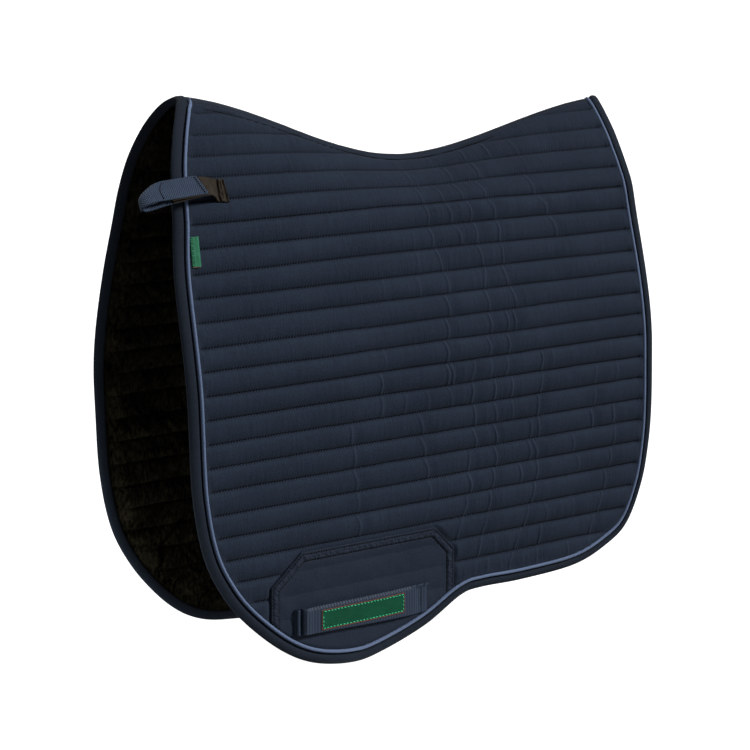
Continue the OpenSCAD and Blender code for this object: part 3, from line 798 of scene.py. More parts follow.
def add_creases(depth, x, v, cols, vs, rows):
    """Raise each crease on the grid."""
    k = np.floor(vs/PITCH + 1e-7)
    for row, xa, xb, h, wide in rows:
        pick = np.nonzero(k == row)[0]
        if not len(pick):
            continue
        r = vs[pick]/PITCH - row
        centre = xa + (xb - xa)*(1 - (1 - r)**2) + 0.5*np.sin(TAU*r + row)
        lo, hi = np.searchsorted(cols, [centre.min() - 4, centre.max() + 24])
        if hi <= lo:
            continue
        s = (cols[None, lo:hi] - centre[:, None])/wide
        env = smooth(r/0.10)*smooth((1 - r)/0.10)*(0.85 + 0.15*np.cos(TAU*(r - 0.35)))
        depth[pick[0]:pick[-1] + 1, lo:hi] -= h*env[:, None]*crease_shape(s)
    return depth


COVER_OFF = np.array([0, 0.7, 1.4, 2.2, 3.3, 5.0, 7.4, 10.2, 13.2, 16.2, 18.8, 20.8, 22.4, 23.4, 24.2])
COLS = np.arange(-351.0, 299.5, 0.8)


def cover_bands(side, seed, creases):
    """The quilted outer cover in three widths of cloth, joined in the furrows of the quilting."""
    made = []
    rows = crease_rows(seed, creases)
    for name, k0, k1 in (("upper", -2, 5), ("middle", 5, 12), ("lower", 12, 18), ("bottom", 18, 25)):
        vs = np.array([PITCH*k + o for k in range(k0, k1) for o in COVER_OFF] + [PITCH*k1])
        x, v = np.meshgrid(COLS, vs)
        lie = v + row_drop(x, v)
        e = edge_distance(x, lie)
        ok = (e > 8.5) & (tape_gap(x, lie) > 2)
        w = cover_depth(x, v, e, seed)
        flat = np.zeros_like(w)
        add_creases(flat, x, v, COLS, vs, rows)
        fade = smooth((e - 16)/9)*smooth((tape_gap(x, lie) - tape_half(x) - 3)/10)*(1 - smooth((patch_inside(x, v) + 9)/8))
        w = w + flat*fade
        pts = surf(x, lie + seam_shift(x, v, seed), w)
        o = grid_object(f"{side}_cover_{name}", pts, ok, side, np.stack([x, v], -1), M_COVER)
        made.append(o)
    return made


def seam_threads(side, seed):
    """Stitches along each quilting line of the outer face."""
    sets = []
    x = np.arange(-350.0, 299.0, 1.0)
    for k in range(0, 25):
        v = PITCH*k + row_drop(x, np.full_like(x, PITCH*k))
        e = edge_distance(x, v)
        ok = (e > 17) & (tape_gap(x, v) > tape_half(x) + 6) & (patch_inside(x, v) < -2)
        runs = np.split(np.nonzero(ok)[0], np.nonzero(np.diff(np.nonzero(ok)[0]) > 1)[0] + 1)
        for run in runs:
            if len(run) < 8:
                continue
            a = 3.6*math.ceil(x[run[0]]/3.6)
            xs = np.arange(a, x[run[-1]], 1.0)
            if len(xs) < 8:
                continue
            line = np.stack([xs, np.full_like(xs, PITCH*k)], 1)
            line[:, 1] += seam_shift(line[:, 0], line[:, 1], seed) + row_drop(line[:, 0], line[:, 1])
            nrm = np.tile([0.0, 1.0], (len(xs), 1))
            depth = lambda xx, vv, kk=k: cover_depth(xx, np.full_like(xx, PITCH*kk), np.full_like(xx, 60.0), seed)
            sets.append(thread_points(line, nrm, xs - xs[0], depth, 3.6, 2.4, 0.50, 0.22, start=1.8))
    return thread_object(f"{side}_quilting_thread", sets, side, M_SEAM)


LINING_OFF = np.array([0, 0.9, 1.9, 3.2, 5.2, 7.6, 10.0, 12.5, 15.0, 17.4, 19.8, 21.8, 23.1, 24.1])
LINING_COLS = np.arange(-351.0, 299.5, 1.5)
EDGE_IN = 3.65


# how far ahead of and above the patch its sewing lies on the lining
SEWN = {"near": (0, 0), "far": (24, 18)}


def lining_depth(x, v, e, seed, sewn):
    k = np.floor(v/PITCH + 1e-7)
    r = np.clip(v/PITCH - k, 0, 1)
    full = 1 + 0.2*vnoise(x/70, k*2.0, seed + 1)
    off = np.minimum(r, 1 - r)*PITCH
    puff = 3.0*full*(4*r*(1 - r))**0.8
    gather = np.sin(np.pi*r)**0.6*(1.35*vnoise(x/4.8 + 2.0*np.sin(r*3 + k), k*5.0 + 0.9*r, seed + 2) + 0.9*vnoise(x/11, k*5.0 + r, seed + 3))
    gather = gather*smooth(0.75 + 0.9*vnoise(x/60, v/50, seed + 6))
    tuft = 0.34*vnoise(x/2.6, v/3.1, seed + 4) + 0.2*vnoise(x/1.6, v/1.7, seed + 5)
    w = 9.3 + puff + gather + tuft - 0.7*np.exp(-(off/1.3)**2)
    # the patch's sewing draws the lining in
    d = patch_inside(x + sewn[0], v + sewn[1])
    w = w - 2.2*smooth((d + 1.5)/3.0) - 3.2*np.exp(-((d - 3)/3.0)**2) + 1.0*np.exp(-((d + 4)/3.0)**2)
    rim = smooth((e - 12)/16)
    w = mix(EDGE_IN + 0.2, w, rim)
    return mix(10.6, w, smooth((tape_gap(x, v) - 11)/9))


def lining_bands(side, seed):
    made = []
    for name, k0, k1 in (("upper", -2, 9), ("lower", 9, 25)):
        vs = np.array([PITCH*k + o for k in range(k0, k1) for o in LINING_OFF] + [PITCH*k1])
        x, v = np.meshgrid(LINING_COLS, vs)
        e = edge_distance(x, v)
        ok = (e > 8.5) & (tape_gap(x, v) > 4)
        w = lining_depth(x, v, e, seed, SEWN[side])
        pts = surf(x, v + seam_shift(x, v, 31), w)
        made.append(grid_object(f"{side}_lining_{name}", pts, ok, side, np.stack([x, v], -1), M_LINING, inward=True))
    return made


# ---------------------------------------------------------------------------
# bound edge and piping
# ---------------------------------------------------------------------------
BIND_OUT = np.array([
    (11.4, 2.4), (11.6, 0.6), (11.4, -0.6), (10.8, -1.25), (9.8, -1.7), (8.4, -1.9), (6.4, -1.85), (3.8, -1.35), (1.9, -0.5), (0.7, 0.4),
    (0.15, 1.2), (0.0, 1.9), (0.15, 2.6), (0.7, 3.4), (1.9, 4.1), (3.6, 4.6), (5.8, 4.85), (8.0, 4.9), (9.8, 4.8),
    (11.0, 4.5), (11.6, 4.1), (11.8, 3.65)])
BIND_INSIDE = np.array([(10.6, 3.65), (7.5, 3.65), (4.6, 3.4), (2.4, 2.8), (1.8, 1.9), (2.4, 1.1), (4.6, 0.4), (8.5, 0.3), (10.2, 0.7), (10.5, 2.4)])


def stations(step):
    line, tan, s = even(EDGE, step)
    n = np.stack([np.interp(s, EDGE_S, EDGE_N[:, k]) for k in range(2)], 1)
    n /= np.linalg.norm(n, axis=1, keepdims=True)
    return line, n, s


def edge_rings(profile, step, seed=0, wrinkle=0.0, sink=0.0):
    line, n, s = stations(step)
    e, w = profile[:, 0], profile[:, 1]
    into = e[None] - np.interp(s, EDGE_S, NEARER)[:, None]*smooth(e/12)[None]
    x = line[:, None, 0] + n[:, None, 0]*into
    v = line[:, None, 1] + n[:, None, 1]*into
    w = np.broadcast_to(w[None], x.shape).copy()
    if wrinkle:
        face = np.exp(-((e - 8)/5.0)**2)[None]
        out = np.where(profile[:, 1] < 3.0, -1.0, 1.0)[None]
        ripple = vnoise(s[:, None]/9 + e[None]/14, e[None]/9, seed) + 0.5*vnoise(s[:, None]/3.5 - e[None]/6, e[None]/7, seed + 1)
        w += wrinkle*ripple*face*out
    w += sink*np.exp(-(np.minimum(s, s[-1] - s)/9)**2)[:, None]
    top = FOLD_V - arc(x)
    v = np.maximum(v, top)
    p = surf(x, v, w)
    p[0, :, 1], p[-1, :, 1] = 0.0, 0.0
    ring = np.concatenate([[0], np.cumsum(np.linalg.norm(np.diff(profile, axis=0), axis=1))])
    uv = np.stack(np.broadcast_arrays(s[:, None], ring[None]), -1)
    return p, uv


def edging(side, seed):
    prof = np.vstack([BIND_OUT, BIND_INSIDE])
    p, uv = edge_rings(prof, 2.5, seed, 0.16)
    binding = swept_object(f"{side}_binding", p, side, uv, M_BIND)
    ang = TAU*np.arange(12)/12
    cord = np.stack([15.7 + 1.95*np.cos(ang), -1.15 + 1.95*np.sin(ang)], 1)
    p, uv = edge_rings(cord, 2.5, seed, sink=2.0)
    piping = swept_object(f"{side}_piping", p, side, uv, M_PIPE)
    return binding, piping


# ---------------------------------------------------------------------------
# spine tapes
# ---------------------------------------------------------------------------


def spine_point(x, b, w):
    """Point b millimetres across the spine, near side negative."""
    total = np.zeros(np.broadcast(x, b, w).shape + (3,))
    for d, k in ((-8, 1), (-4, 3), (0, 4), (4, 3), (8, 1)):
        bb = b + d
        q = surf_plain(*np.broadcast_arrays(x, FOLD_V - arc(x) + np.abs(bb), w))
        q[..., 1] *= np.where(bb > 0, -1, 1)
        total += q*k/12
    return total


def spine_tape(name, w_face, w_back, mat, half, x0, x1, seed):
    xs = np.arange(x0, x1 + 0.1, 2.0)
    x, b = np.meshgrid(xs, np.concatenate([[-1.02], np.linspace(-1, 1, 29), [1.02]]))
    half = half(x)
    b = b*half
    edge = smooth((half - np.abs(b))/1.2)
    sign = -1 if w_face < w_back else 1
    ripple = 0.18*vnoise(x/24, b/9, seed) + 0.10*vnoise(x/7, b/5, seed + 1)
    stitch = np.exp(-((half - 2.2 - np.abs(b))/0.7)**2)*(0.28 + 0.1*np.cos(TAU*x/4))
    w = mix(w_back, w_face, edge) + sign*(ripple - stitch)*edge
    pts = spine_point(x, b, w)
    ok = np.ones_like(x, bool)
    o = grid_object(name, pts, ok, "near", np.stack([x, b], -1), mat, inward=sign < 0)
    return o


def tape_threads(name, w_face, half, x0, x1):
    sets = []
    s = np.arange(x0 + 6, x1 - 6, 1.0)
    for side in (-1, 1):
        line = np.stack([s, side*(half(s) - 2.2)], 1)
        sets.append(thread_points(line, np.tile([0.0, 1.0], (len(s), 1)), s - s[0], lambda x, v: np.full_like(x, w_face + 0.25), 3.4, 2.7, 0.42, 0.1))
    return thread_object(name, sets, "near", M_PATCH_THREAD, place=lambda x, b, w: spine_point(x, b, w))


def spine_stitching():
    """The line of stitching beside the outer tape on each side."""
    sets = []
    s = np.arange(-276.0, 128.0, 1.0)
    for side in (-1, 1):
        line = np.stack([s, side*(tape_half(s) + 3)], 1)
        sets.append(thread_points(line, np.tile([0.0, 1.0], (len(s), 1)), s - s[0], lambda x, v: np.full_like(x, 1.1), 3.4, 3.1, 0.70, 0.40))
    return thread_object("spine_stitching", sets, "near", M_BLACK_THREAD, place=lambda x, b, w: spine_point(x, b, w))


# ---------------------------------------------------------------------------
# girth patch
# ---------------------------------------------------------------------------


def patch_low(x):
    """The patch runs down to the piping seam."""
    m = (LOW_PART[:, 0] > -295) & (LOW_PART[:, 0] < 30)
    line, nrm = EDGE[_turn:_back + 1][m], EDGE_N[_turn:_back + 1][m]
    q = line + (15.2 - NEARER[_turn:_back + 1][m])[:, None]*nrm
    order = np.argsort(q[:, 0])
    return np.interp(x, q[order, 0], q[order, 1])


def patch_hem(d, x, v, seed):
    """Height of the patch above the pad, d millimetres in from its sewn side."""
    rise = np.sqrt(np.clip(1 - (1 - np.clip(d/1.4, 0, 1))**2, 0, 1))
    band = smooth(d/1.2)*smooth((10.5 - d)/1.8)
    seam = 0.95*np.exp(-((d - 2.4)/0.85)**2) + 0.9*np.exp(-((d - 9.6)/0.9)**2)
    puck = vnoise(x/2.6, v/2.6, seed)*np.exp(-((d - 6.0)/3.6)**2) + 0.5*vnoise(x/1.7, v/1.7, seed + 4)*np.exp(-((d - 2.4)/2.0)**2)
    field = 0.45*vnoise(x/46, v/25, seed + 1) + 0.16*vnoise(x/15, v/11, seed + 2)
    r = v/PITCH - np.floor(v/PITCH)
    rows = 1.1*(4*r*(1 - r) - 0.7)
    return 0.55*rise + 1.15*band - 1.15*seam + 0.75*puck + (field + rows)*smooth((d - 10)/9)


def patch_depth(x, v, seed):
    inside = patch_inside(x, v)
    # soft slack in the middle of the cloth
    slack = 0.42*vnoise(x/34 + v/90, v/21, seed + 31) + 0.22*vnoise(x/13 - v/40, v/15, seed + 32)
    return -0.62 - patch_hem(inside, x, v, seed) + slack*smooth((inside - 13)/14)


def girth_patch(side, seed):
    xs = np.unique(np.round(np.concatenate([np.arange(-250, -2.2, 0.8), [-29, -2]]), 3))
    tops = np.interp(xs, [p[0] for p in PATCH], [p[1] for p in PATCH])
    lows = patch_low(xs)
    n = 140
    f = np.linspace(0, 1, n)
    x = np.repeat(xs[None], n, 0)
    v = tops[None] + (lows - tops)[None]*f[:, None]
    w = patch_depth(x, v, seed)
    low_fade = smooth((lows[None] - v)/7)
    w = mix(0.2, w, low_fade)
    # a turned-in rim goes down into the quilting at the sewn sides
    x = np.vstack([x[:1], x])
    v = np.vstack([v[:1] + 0.15, v])
    w = np.vstack([np.full((1, len(xs)), 1.3), w])
    x, v, w = (np.hstack([q[:, :1], q, q[:, -1:]]) for q in (x, v, w))
    w[:, 0], w[:, -1] = 1.3, 1.3
    pts = surf(x, v, w)
    patch = grid_object(f"{side}_girth_patch_cloth", pts, np.ones_like(x, bool), side, np.stack([x, v], -1), M_PATCH)
    sets = []
    for d in (2.4, 9.6):
        c = inset_line(d)
        line, tan, s = even(c, 0.5)
        nrm = np.stack([tan[:, 1], -tan[:, 0]], 1)
        sets.append(thread_points(line, nrm, s, lambda xx, vv: patch_depth(xx, vv, seed), 3.4, 2.4, 0.80, 0.45))
    sewing = thread_object(f"{side}_patch_stitching", sets, side, M_PATCH_THREAD)
    return patch, sewing


def inset_line(d):
    """The sewn outline of the patch moved in by d."""
    p = [(-250, float(patch_low(np.array(-250.0))))] + PATCH + [(-2, float(patch_low(np.array(-2.0))))]
    sides = []
    for a, b in zip(p[:-1], p[1:]):
        t = np.array(b, float) - np.array(a, float)
        t /= np.linalg.norm(t)
        n = np.array([-t[1], t[0]])
        sides.append((np.array(a, float) + d*n, t))
    pts = [sides[0][0] - np.array([0, 2.5])]
    for (a, t), (b, u) in zip(sides[:-1], sides[1:]):
        m = np.linalg.solve(np.stack([t, -u], 1), b - a)
        pts.append(a + m[0]*t)
    a, t = sides[-1]
    low = float(patch_low(np.array(a[0])))
    pts[0] = np.array([sides[0][0][0], float(patch_low(np.array(sides[0][0][0]))) - 3])
    pts.append(np.array([a[0], low - 3]))
    return np.array(pts)


def lining_stitching(side, seed, sewn):
    """The patch's sewing as it comes through on the lining."""
    line, tan, s = even(inset_line(2.4) - np.array(sewn, float), 0.5)
    keep = edge_distance(line[:, 0], line[:, 1]) > 16
    line, tan, s = line[keep], tan[keep], s[keep]
    nrm = np.stack([tan[:, 1], -tan[:, 0]], 1)
    depth = lambda x, v: lining_depth(x, v, np.full_like(x, 60.0), seed, sewn)
    return thread_object(f"{side}_lining_stitching", [thread_points(line, nrm, s, depth, 3.4, 2.8, 0.75, -0.7)], side, M_BLACK_THREAD)


# ---------------------------------------------------------------------------
# girth keeper
# ---------------------------------------------------------------------------
KV0, KV1 = 540.0, 568.5
KX0, KX1 = -206.0, -57.0
KMID = 0.5*(KV0 + KV1)


def keeper_off(x):
    return 2.2 + 4.6*np.sqrt(np.clip(np.sin(np.pi*(x - KX0)/(KX1 - KX0)), 0, 1))


def keeper_ribbon(name, side, path, mat, thick, seed, ruffle=None):
    """Webbing that follows a line in (x, height) and stands across the flap; its upper edge rolls back."""
    p, t, s = even(spline(path, 14), 0.8)
    h = (KV1 - KV0)/2
    ee = 0.7
    top = [(-h + ee, 1)] + [(u*(h - ee), 1) for u in np.linspace(-0.96, 0.96, 25)] + [(h - ee, 1)]
    right = [(h - 0.15, 0.6), (h, 0), (h - 0.15, -0.6)]
    prof = np.array(top + right + [(a, -b) for a, b in top[::-1]] + [(-a, -b) for a, b in right])
    nrm = np.stack([-t[:, 1], t[:, 0]], 1)
    if nrm[len(nrm)//2, 1] < 0:
        nrm = -nrm
    a, b = prof[:, 0][None], prof[:, 1][None]*thick/2
    rip = 0.12*vnoise(s[:, None]/6, a/12, seed) + 0.10*vnoise(s[:, None]/1.7, a/22, seed + 1)
    if ruffle is not None:
        rip = rip + ruffle(p[:, None, 0], s[:, None], a)
    off = b + rip
    x = p[:, None, 0] + nrm[:, None, 0]*off
    o = p[:, None, 1] + nrm[:, None, 1]*off
    flare = 4.6*np.clip((x + 215)/170, 0, 1)*np.clip(a/h, 0, 1)
    rings = surf(x, KMID + a + flare, -o)
    uv = np.stack(np.broadcast_arrays(s[:, None], a + np.where(prof[:, 1] < 0, 90, 0)[None]), -1)
    return swept_object(name, rings, side, uv, mat)


KEEPER_MID = -132.0


def keeper_run(x):
    """Height of the webbing's middle over its free run."""
    x = np.asarray(x, float)
    return np.where(x < KEEPER_MID, np.maximum(keeper_off(x) + 0.9, 7.9 - 0.02*(x + 200)), np.maximum(keeper_off(x) + 0.9, 2.4))


def keeper(side, seed):
    mid = KEEPER_MID
    # front half: sewn down, folded over twice into a standing pleat, then out over the patch
    front = [(-223.4, 0.75), (-222.0, 0.8), (-220.8, 1.0), (-220.0, 2.2), (-219.5, 4.6), (-218.4, 6.5), (-216.8, 6.6), (-215.8, 4.8),
             (-215.1, 2.2), (-214.0, 1.4), (-212.9, 2.4), (-212.3, 5.4), (-211.4, 7.8), (-209.4, 8.7), (-205, 8.5), (-200, 8.0)]
    front += [(float(x), float(keeper_run(x))) for x in np.linspace(-196, mid, 10)]

    def back(x, s, a):
        return -1.5*smooth((-a - 11.0)/3.2)*smooth((x + 209)/4)

    one = keeper_ribbon(f"{side}_keeper_web_front", side, front, M_KEEPER, 1.35, seed, back)
    # rear half: down to the patch, bar-tacked and turned under
    rear = [(float(x), float(keeper_run(x))) for x in np.linspace(mid, -65, 10)]
    rear[0] = (mid, front[-1][1])
    rear += [(-60.5, 4.6), (-56, 3.3), (-51, 2.75), (-46, 2.6), (-42.3, 2.5), (-41.1, 1.9), (-42.1, 1.25), (-47, 1.1)]

    def ruffle(x, s, a):
        up = smooth((-a - 9.3)/4.0)
        crimp = up*smooth((x + 60)/6)*(0.9*np.sin(s*1.25 + a*0.5) + 1.1)
        sewn = -0.75*np.exp(-((x + 50.2)/0.8)**2)
        return crimp + sewn - 1.5*smooth((-a - 11.0)/3.2)*smooth((-62 - x)/6)

    two = keeper_ribbon(f"{side}_keeper_web_rear", side, rear, M_KEEPER, 1.35, seed + 3, ruffle)
    # stitching down both ends
    sets = []
    for x0, o in ((-210.2, 9.25), (-50.2, 2.95)):
        v = np.linspace(KV0 + 1.6, KV1 - 1.2, 60)
        line = np.stack([x0 + 0.25*np.sin(np.arange(60)*0.9), v], 1)
        line, tan, s = even(line, 0.3)
        nrm = np.stack([tan[:, 1], -tan[:, 0]], 1)
        sets.append(thread_points(line, nrm, s, lambda x, vv, oo=o: np.full_like(x, -oo), 2.4, 1.9, 0.5, 0.05))
    tack_front = thread_object(f"{side}_keeper_tack_front", sets[:1], side, M_BLACK_THREAD)
    tack_rear = thread_object(f"{side}_keeper_tack_rear", sets[1:], side, M_BLACK_THREAD)
    return one, two, tack_front, tack_rear


LX0, LX1, LV0, LV1 = -189.0, -76.0, 545.0, 566.5


def strap_top(x):
    return keeper_run(x) + 0.72


def label_depth(x, v, seed):
    d = np.minimum.reduce([x - LX0, LX1 - x, v - LV0, LV1 - v])
    seam = np.exp(-((d - 1.7)/0.55)**2)*0.16
    rip = 0.10*vnoise(x/11, v/8, seed) + 0.05*vnoise(x/4, v/4, seed + 1)
    return -(strap_top(x) + 0.55*smooth(d/0.5 + 0.25) - seam + rip)


def keeper_label(side, seed):
    xs, vs = np.arange(LX0, LX1 + 0.1, 1.0), np.arange(LV0, LV1 + 0.1, 0.8)
    x, v = np.meshgrid(xs, vs)
    w = label_depth(x, v, seed)
    x, v, w = (np.vstack([q[:1], q, q[-1:]]) for q in (x, v, w))
    x, v, w = (np.hstack([q[:, :1], q, q[:, -1:]]) for q in (x, v, w))
    low = -(strap_top(x) - 0.3)
    w[0], w[-1], w[:, 0], w[:, -1] = low[0], low[-1], low[:, 0], low[:, -1]
    label = grid_object(f"{side}_label_cloth", surf(x, v, w), np.ones_like(x, bool), side, np.stack([x, v], -1), M_LABEL)
    d = 1.7
    box = np.array([(LX0 + d, LV0 + d), (LX1 - d, LV0 + d), (LX1 - d, LV1 - d), (LX0 + d, LV1 - d), (LX0 + d, LV0 + d)], float)
    line, tan, s = even(box, 0.4)
    nrm = np.stack([tan[:, 1], -tan[:, 0]], 1)
    sets = [thread_points(line, nrm, s, lambda a, b: label_depth(a, b, seed), 4.4, 3.2, 0.62, 0.30)]
    sewing = thread_object(f"{side}_label_stitching", sets, side, M_LABEL_THREAD)
    d = 0.2
    box = np.array([(LX0 + d, LV0 + d), (LX1 - d, LV0 + d), (LX1 - d, LV1 - d), (LX0 + d, LV1 - d), (LX0 + d, LV0 + d)], float)
    line, tan, s = even(box, 0.8)
    ang = TAU*np.arange(8)/8
    nrm = np.stack([tan[:, 1], -tan[:, 0]], 1)
    rr = 0.50*(1 + 0.15*np.sin(s*2.4))[:, None]
    x = line[:, None, 0] + nrm[:, None, 0]*rr*np.cos(ang)
    v = line[:, None, 1] + nrm[:, None, 1]*rr*np.cos(ang)
    w = label_depth(line[:, 0], line[:, 1], seed)[:, None] + rr*np.sin(ang)
    uv = np.stack(np.broadcast_arrays(s[:, None], ang[None]), -1)
    edge = swept_object(f"{side}_label_edge", surf(x, v, w), side, uv, M_LABEL_EDGE)
    return label, sewing, edge


# ---------------------------------------------------------------------------
# billet strap: it is sewn to the flank by a brown tape and stands off forward in a frame of its own,
# x along the strap, y into the pad, z across the strap
# ---------------------------------------------------------------------------
TILT = math.radians(14)
ROOT = np.array([-309.0, -60.4, 2.2])
EYE = (-76.0, -4.2)
TAIL_TURN = math.asin(6.8/74)


def flank(x, y, z):
    c, s = math.cos(TILT), math.sin(TILT)
    return np.stack(np.broadcast_arrays(x, -51.2 + c*y + s*z, -7 - s*y + c*z), -1)


def turn_x(d):
    c, s = math.cos(math.radians(d)), math.sin(math.radians(d))
    return np.array([[1, 0, 0], [0, c, -s], [0, s, c]])


def turn_y(d):
    c, s = math.cos(math.radians(d)), math.sin(math.radians(d))
    return np.array([[c, 0, s], [0, 1, 0], [-s, 0, c]])


STRAP_AXES = turn_x(-47) @ turn_y(-8.5)


def on_strap(x, y, z):
    """The eye is gathered towards the strap's upper edge and open at its lower one."""
    x, y, z = (np.array(q, float) for q in np.broadcast_arrays(x, y, z))
    t = np.clip((z + 12.5)/25, 0, 1)
    u = np.clip(-x/76, 0, 1)
    lean = -7 + 10*t + 19*np.clip((t - 0.4)/0.6, 0, 1)**2
    low = 2.6*(1 - t)*np.exp(-((x + 70)/13)**2)*smooth((y + 4.2)/4)
    q = np.stack([x + u*u*lean, y*(1 - 0.30*t*u*(y < 0)) + low, z], -1)
    return ROOT + q @ STRAP_AXES.T


def strap_ribbon(name, path, width, thick, mat, bow=None, z0=0.0):
    """Strip that follows a line in the strap frame's (x, y) plane."""
    p, t, s = even(np.array(path, float), 0.8)
    h = width/2
    ee = min(0.6, thick/2)
    top = [(-h + ee, 1)] + [(u*(h - ee), 1) for u in np.linspace(-0.95, 0.95, 23)] + [(h - ee, 1)]
    right = [(h - 0.15, 0.6), (h, 0), (h - 0.15, -0.6)]
    prof = np.array(top + right + [(a, -b) for a, b in top[::-1]] + [(-a, -b) for a, b in right])
    nrm = np.stack([-t[:, 1], t[:, 0]], 1)
    a, b = prof[:, 0][None], prof[:, 1][None]*thick/2
    off = b + (0 if bow is None else bow(s[:, None], a))
    x = p[:, None, 0] + nrm[:, None, 0]*off
    y = p[:, None, 1] + nrm[:, None, 1]*off
    rings = on_strap(x, y, z0 + a + 0*x)
    uv = np.stack(np.broadcast_arrays(s[:, None], a + np.where(prof[:, 1] < 0, 70, 0)[None]), -1)
    return swept_object(name, rings, "near", uv, mat)


def oval(a, b, a0, a1, n):
    """The eye's long oval section, from angle a0 to a1."""
    t = np.radians(np.linspace(a0, a1, n))
    return np.stack([EYE[0] + 6 + a*np.cos(t), EYE[1] + b*np.sin(t)], 1)


def tail_frame(x, y):
    c, s = math.cos(TAIL_TURN), math.sin(TAIL_TURN)
    return np.stack([EYE[0] + c*np.asarray(x, float) - s*np.asarray(y, float), EYE[1] + s*np.asarray(x, float) + c*np.asarray(y, float)], -1)


def slab_object(name, outer, inner, uv, mat):
    """A closed sheet between two grids of points in millimetres."""
    n, m = outer.shape[:2]
    pts = np.concatenate([outer.reshape(-1, 3), inner.reshape(-1, 3)])
    idx = np.arange(n*m).reshape(n, m)
    q = np.stack([idx[:-1, :-1], idx[1:, :-1], idx[1:, 1:], idx[:-1, 1:]], -1).reshape(-1, 4)
    rim = np.concatenate([idx[0, :], idx[1:, -1], idx[-1, -2::-1], idx[-2:0:-1, 0]])
    nxt = np.roll(rim, -1)
    faces = np.concatenate([q, q[:, ::-1] + n*m, np.stack([nxt, rim, rim + n*m, nxt + n*m], -1)[:, ::-1]])
    c = pts[faces]
    out = np.repeat((outer - inner).reshape(-1, 3)[idx[0, 0]][None], 1, 0)
    face = np.cross(c[0, 1] - c[0, 0], c[0, 2] - c[0, 0])
    if (face*out[0]).sum() < 0:
        faces = faces[:, ::-1]
    flat = np.asarray(uv, float).reshape(-1, 2)
    return make_mesh(name, pts*MM, faces, np.concatenate([flat, flat + [0, 80]])*MM, None, [mat])


def anchor_sheet(seed):
    """Brown tape from the strap's root down on to the flank, folded and sewn where it lands."""
    t = np.linspace(1, 0, 41)[:, None]
    u = np.linspace(0, 1, 61)[None]
    z = -12.5 + 25*t
    p0 = ROOT + np.stack([0.3 + 0*z, 0*z, z], -1) @ STRAP_AXES.T
    p1 = flank(-285 + 0*t, -1.7 + 0*t, mix(-9.2, 14.3, t))
    p2 = flank(mix(-271.6, -275.5, t), -1.7 + 0*t, mix(-10.7, 13.6, t))
    a = p0 + 12*STRAP_AXES[:, 0]
    b = p1 - np.array([3.5, 0, 0])
    g = np.clip(u/0.6, 0, 1)[..., None]
    h = np.clip((u - 0.6)/0.4, 0, 1)[..., None]
    r = 1 - g
    p = r**3*p0 + 3*g*r*r*a + 3*g*g*r*b + g**3*p1 + h*(p2 - p1)
    gu, gt = np.gradient(p, axis=1), np.gradient(p, axis=0)
    n = np.cross(gt, gu)
    n /= np.linalg.norm(n, axis=-1, keepdims=True)
    n = np.where(n[..., 1:2] > 0, -n, n)
    x = (u + 0*t)*40
    y = t*25 + 0*u
    wave = 0.5*np.sin(y*0.55 + 1.0)
    fold = 1.3*np.exp(-((x - 27.6 - wave)/1.4)**2) + 1.1*np.exp(-((x - 31.5 + wave)/1.3)**2) + 0.9*np.exp(-((x - 38.6)/1.0)**2)
    fold -= 1.0*np.exp(-((x - 25.0 - 1.4*wave)/0.8)**2) + 0.75*np.exp(-((x - 36.3 + wave)/0.75)**2)
    lift = fold + 0.30*vnoise(x/2.4, y/3.5, seed) + 0.16*vnoise(x/1.2, y/1.4, seed + 1)
    edge = np.minimum.reduce([y, 25 - y, 40.0 - x])
    lift = lift*smooth(edge/1.2) - 0.35*(1 - smooth(edge/0.9))
    outer = p + n*(0.75 + lift)[..., None]
    inner = p - n*0.75
    return slab_object("near_billet_anchor_tape", outer, inner, np.stack([x, -y], -1), M_HOOK), outer, n


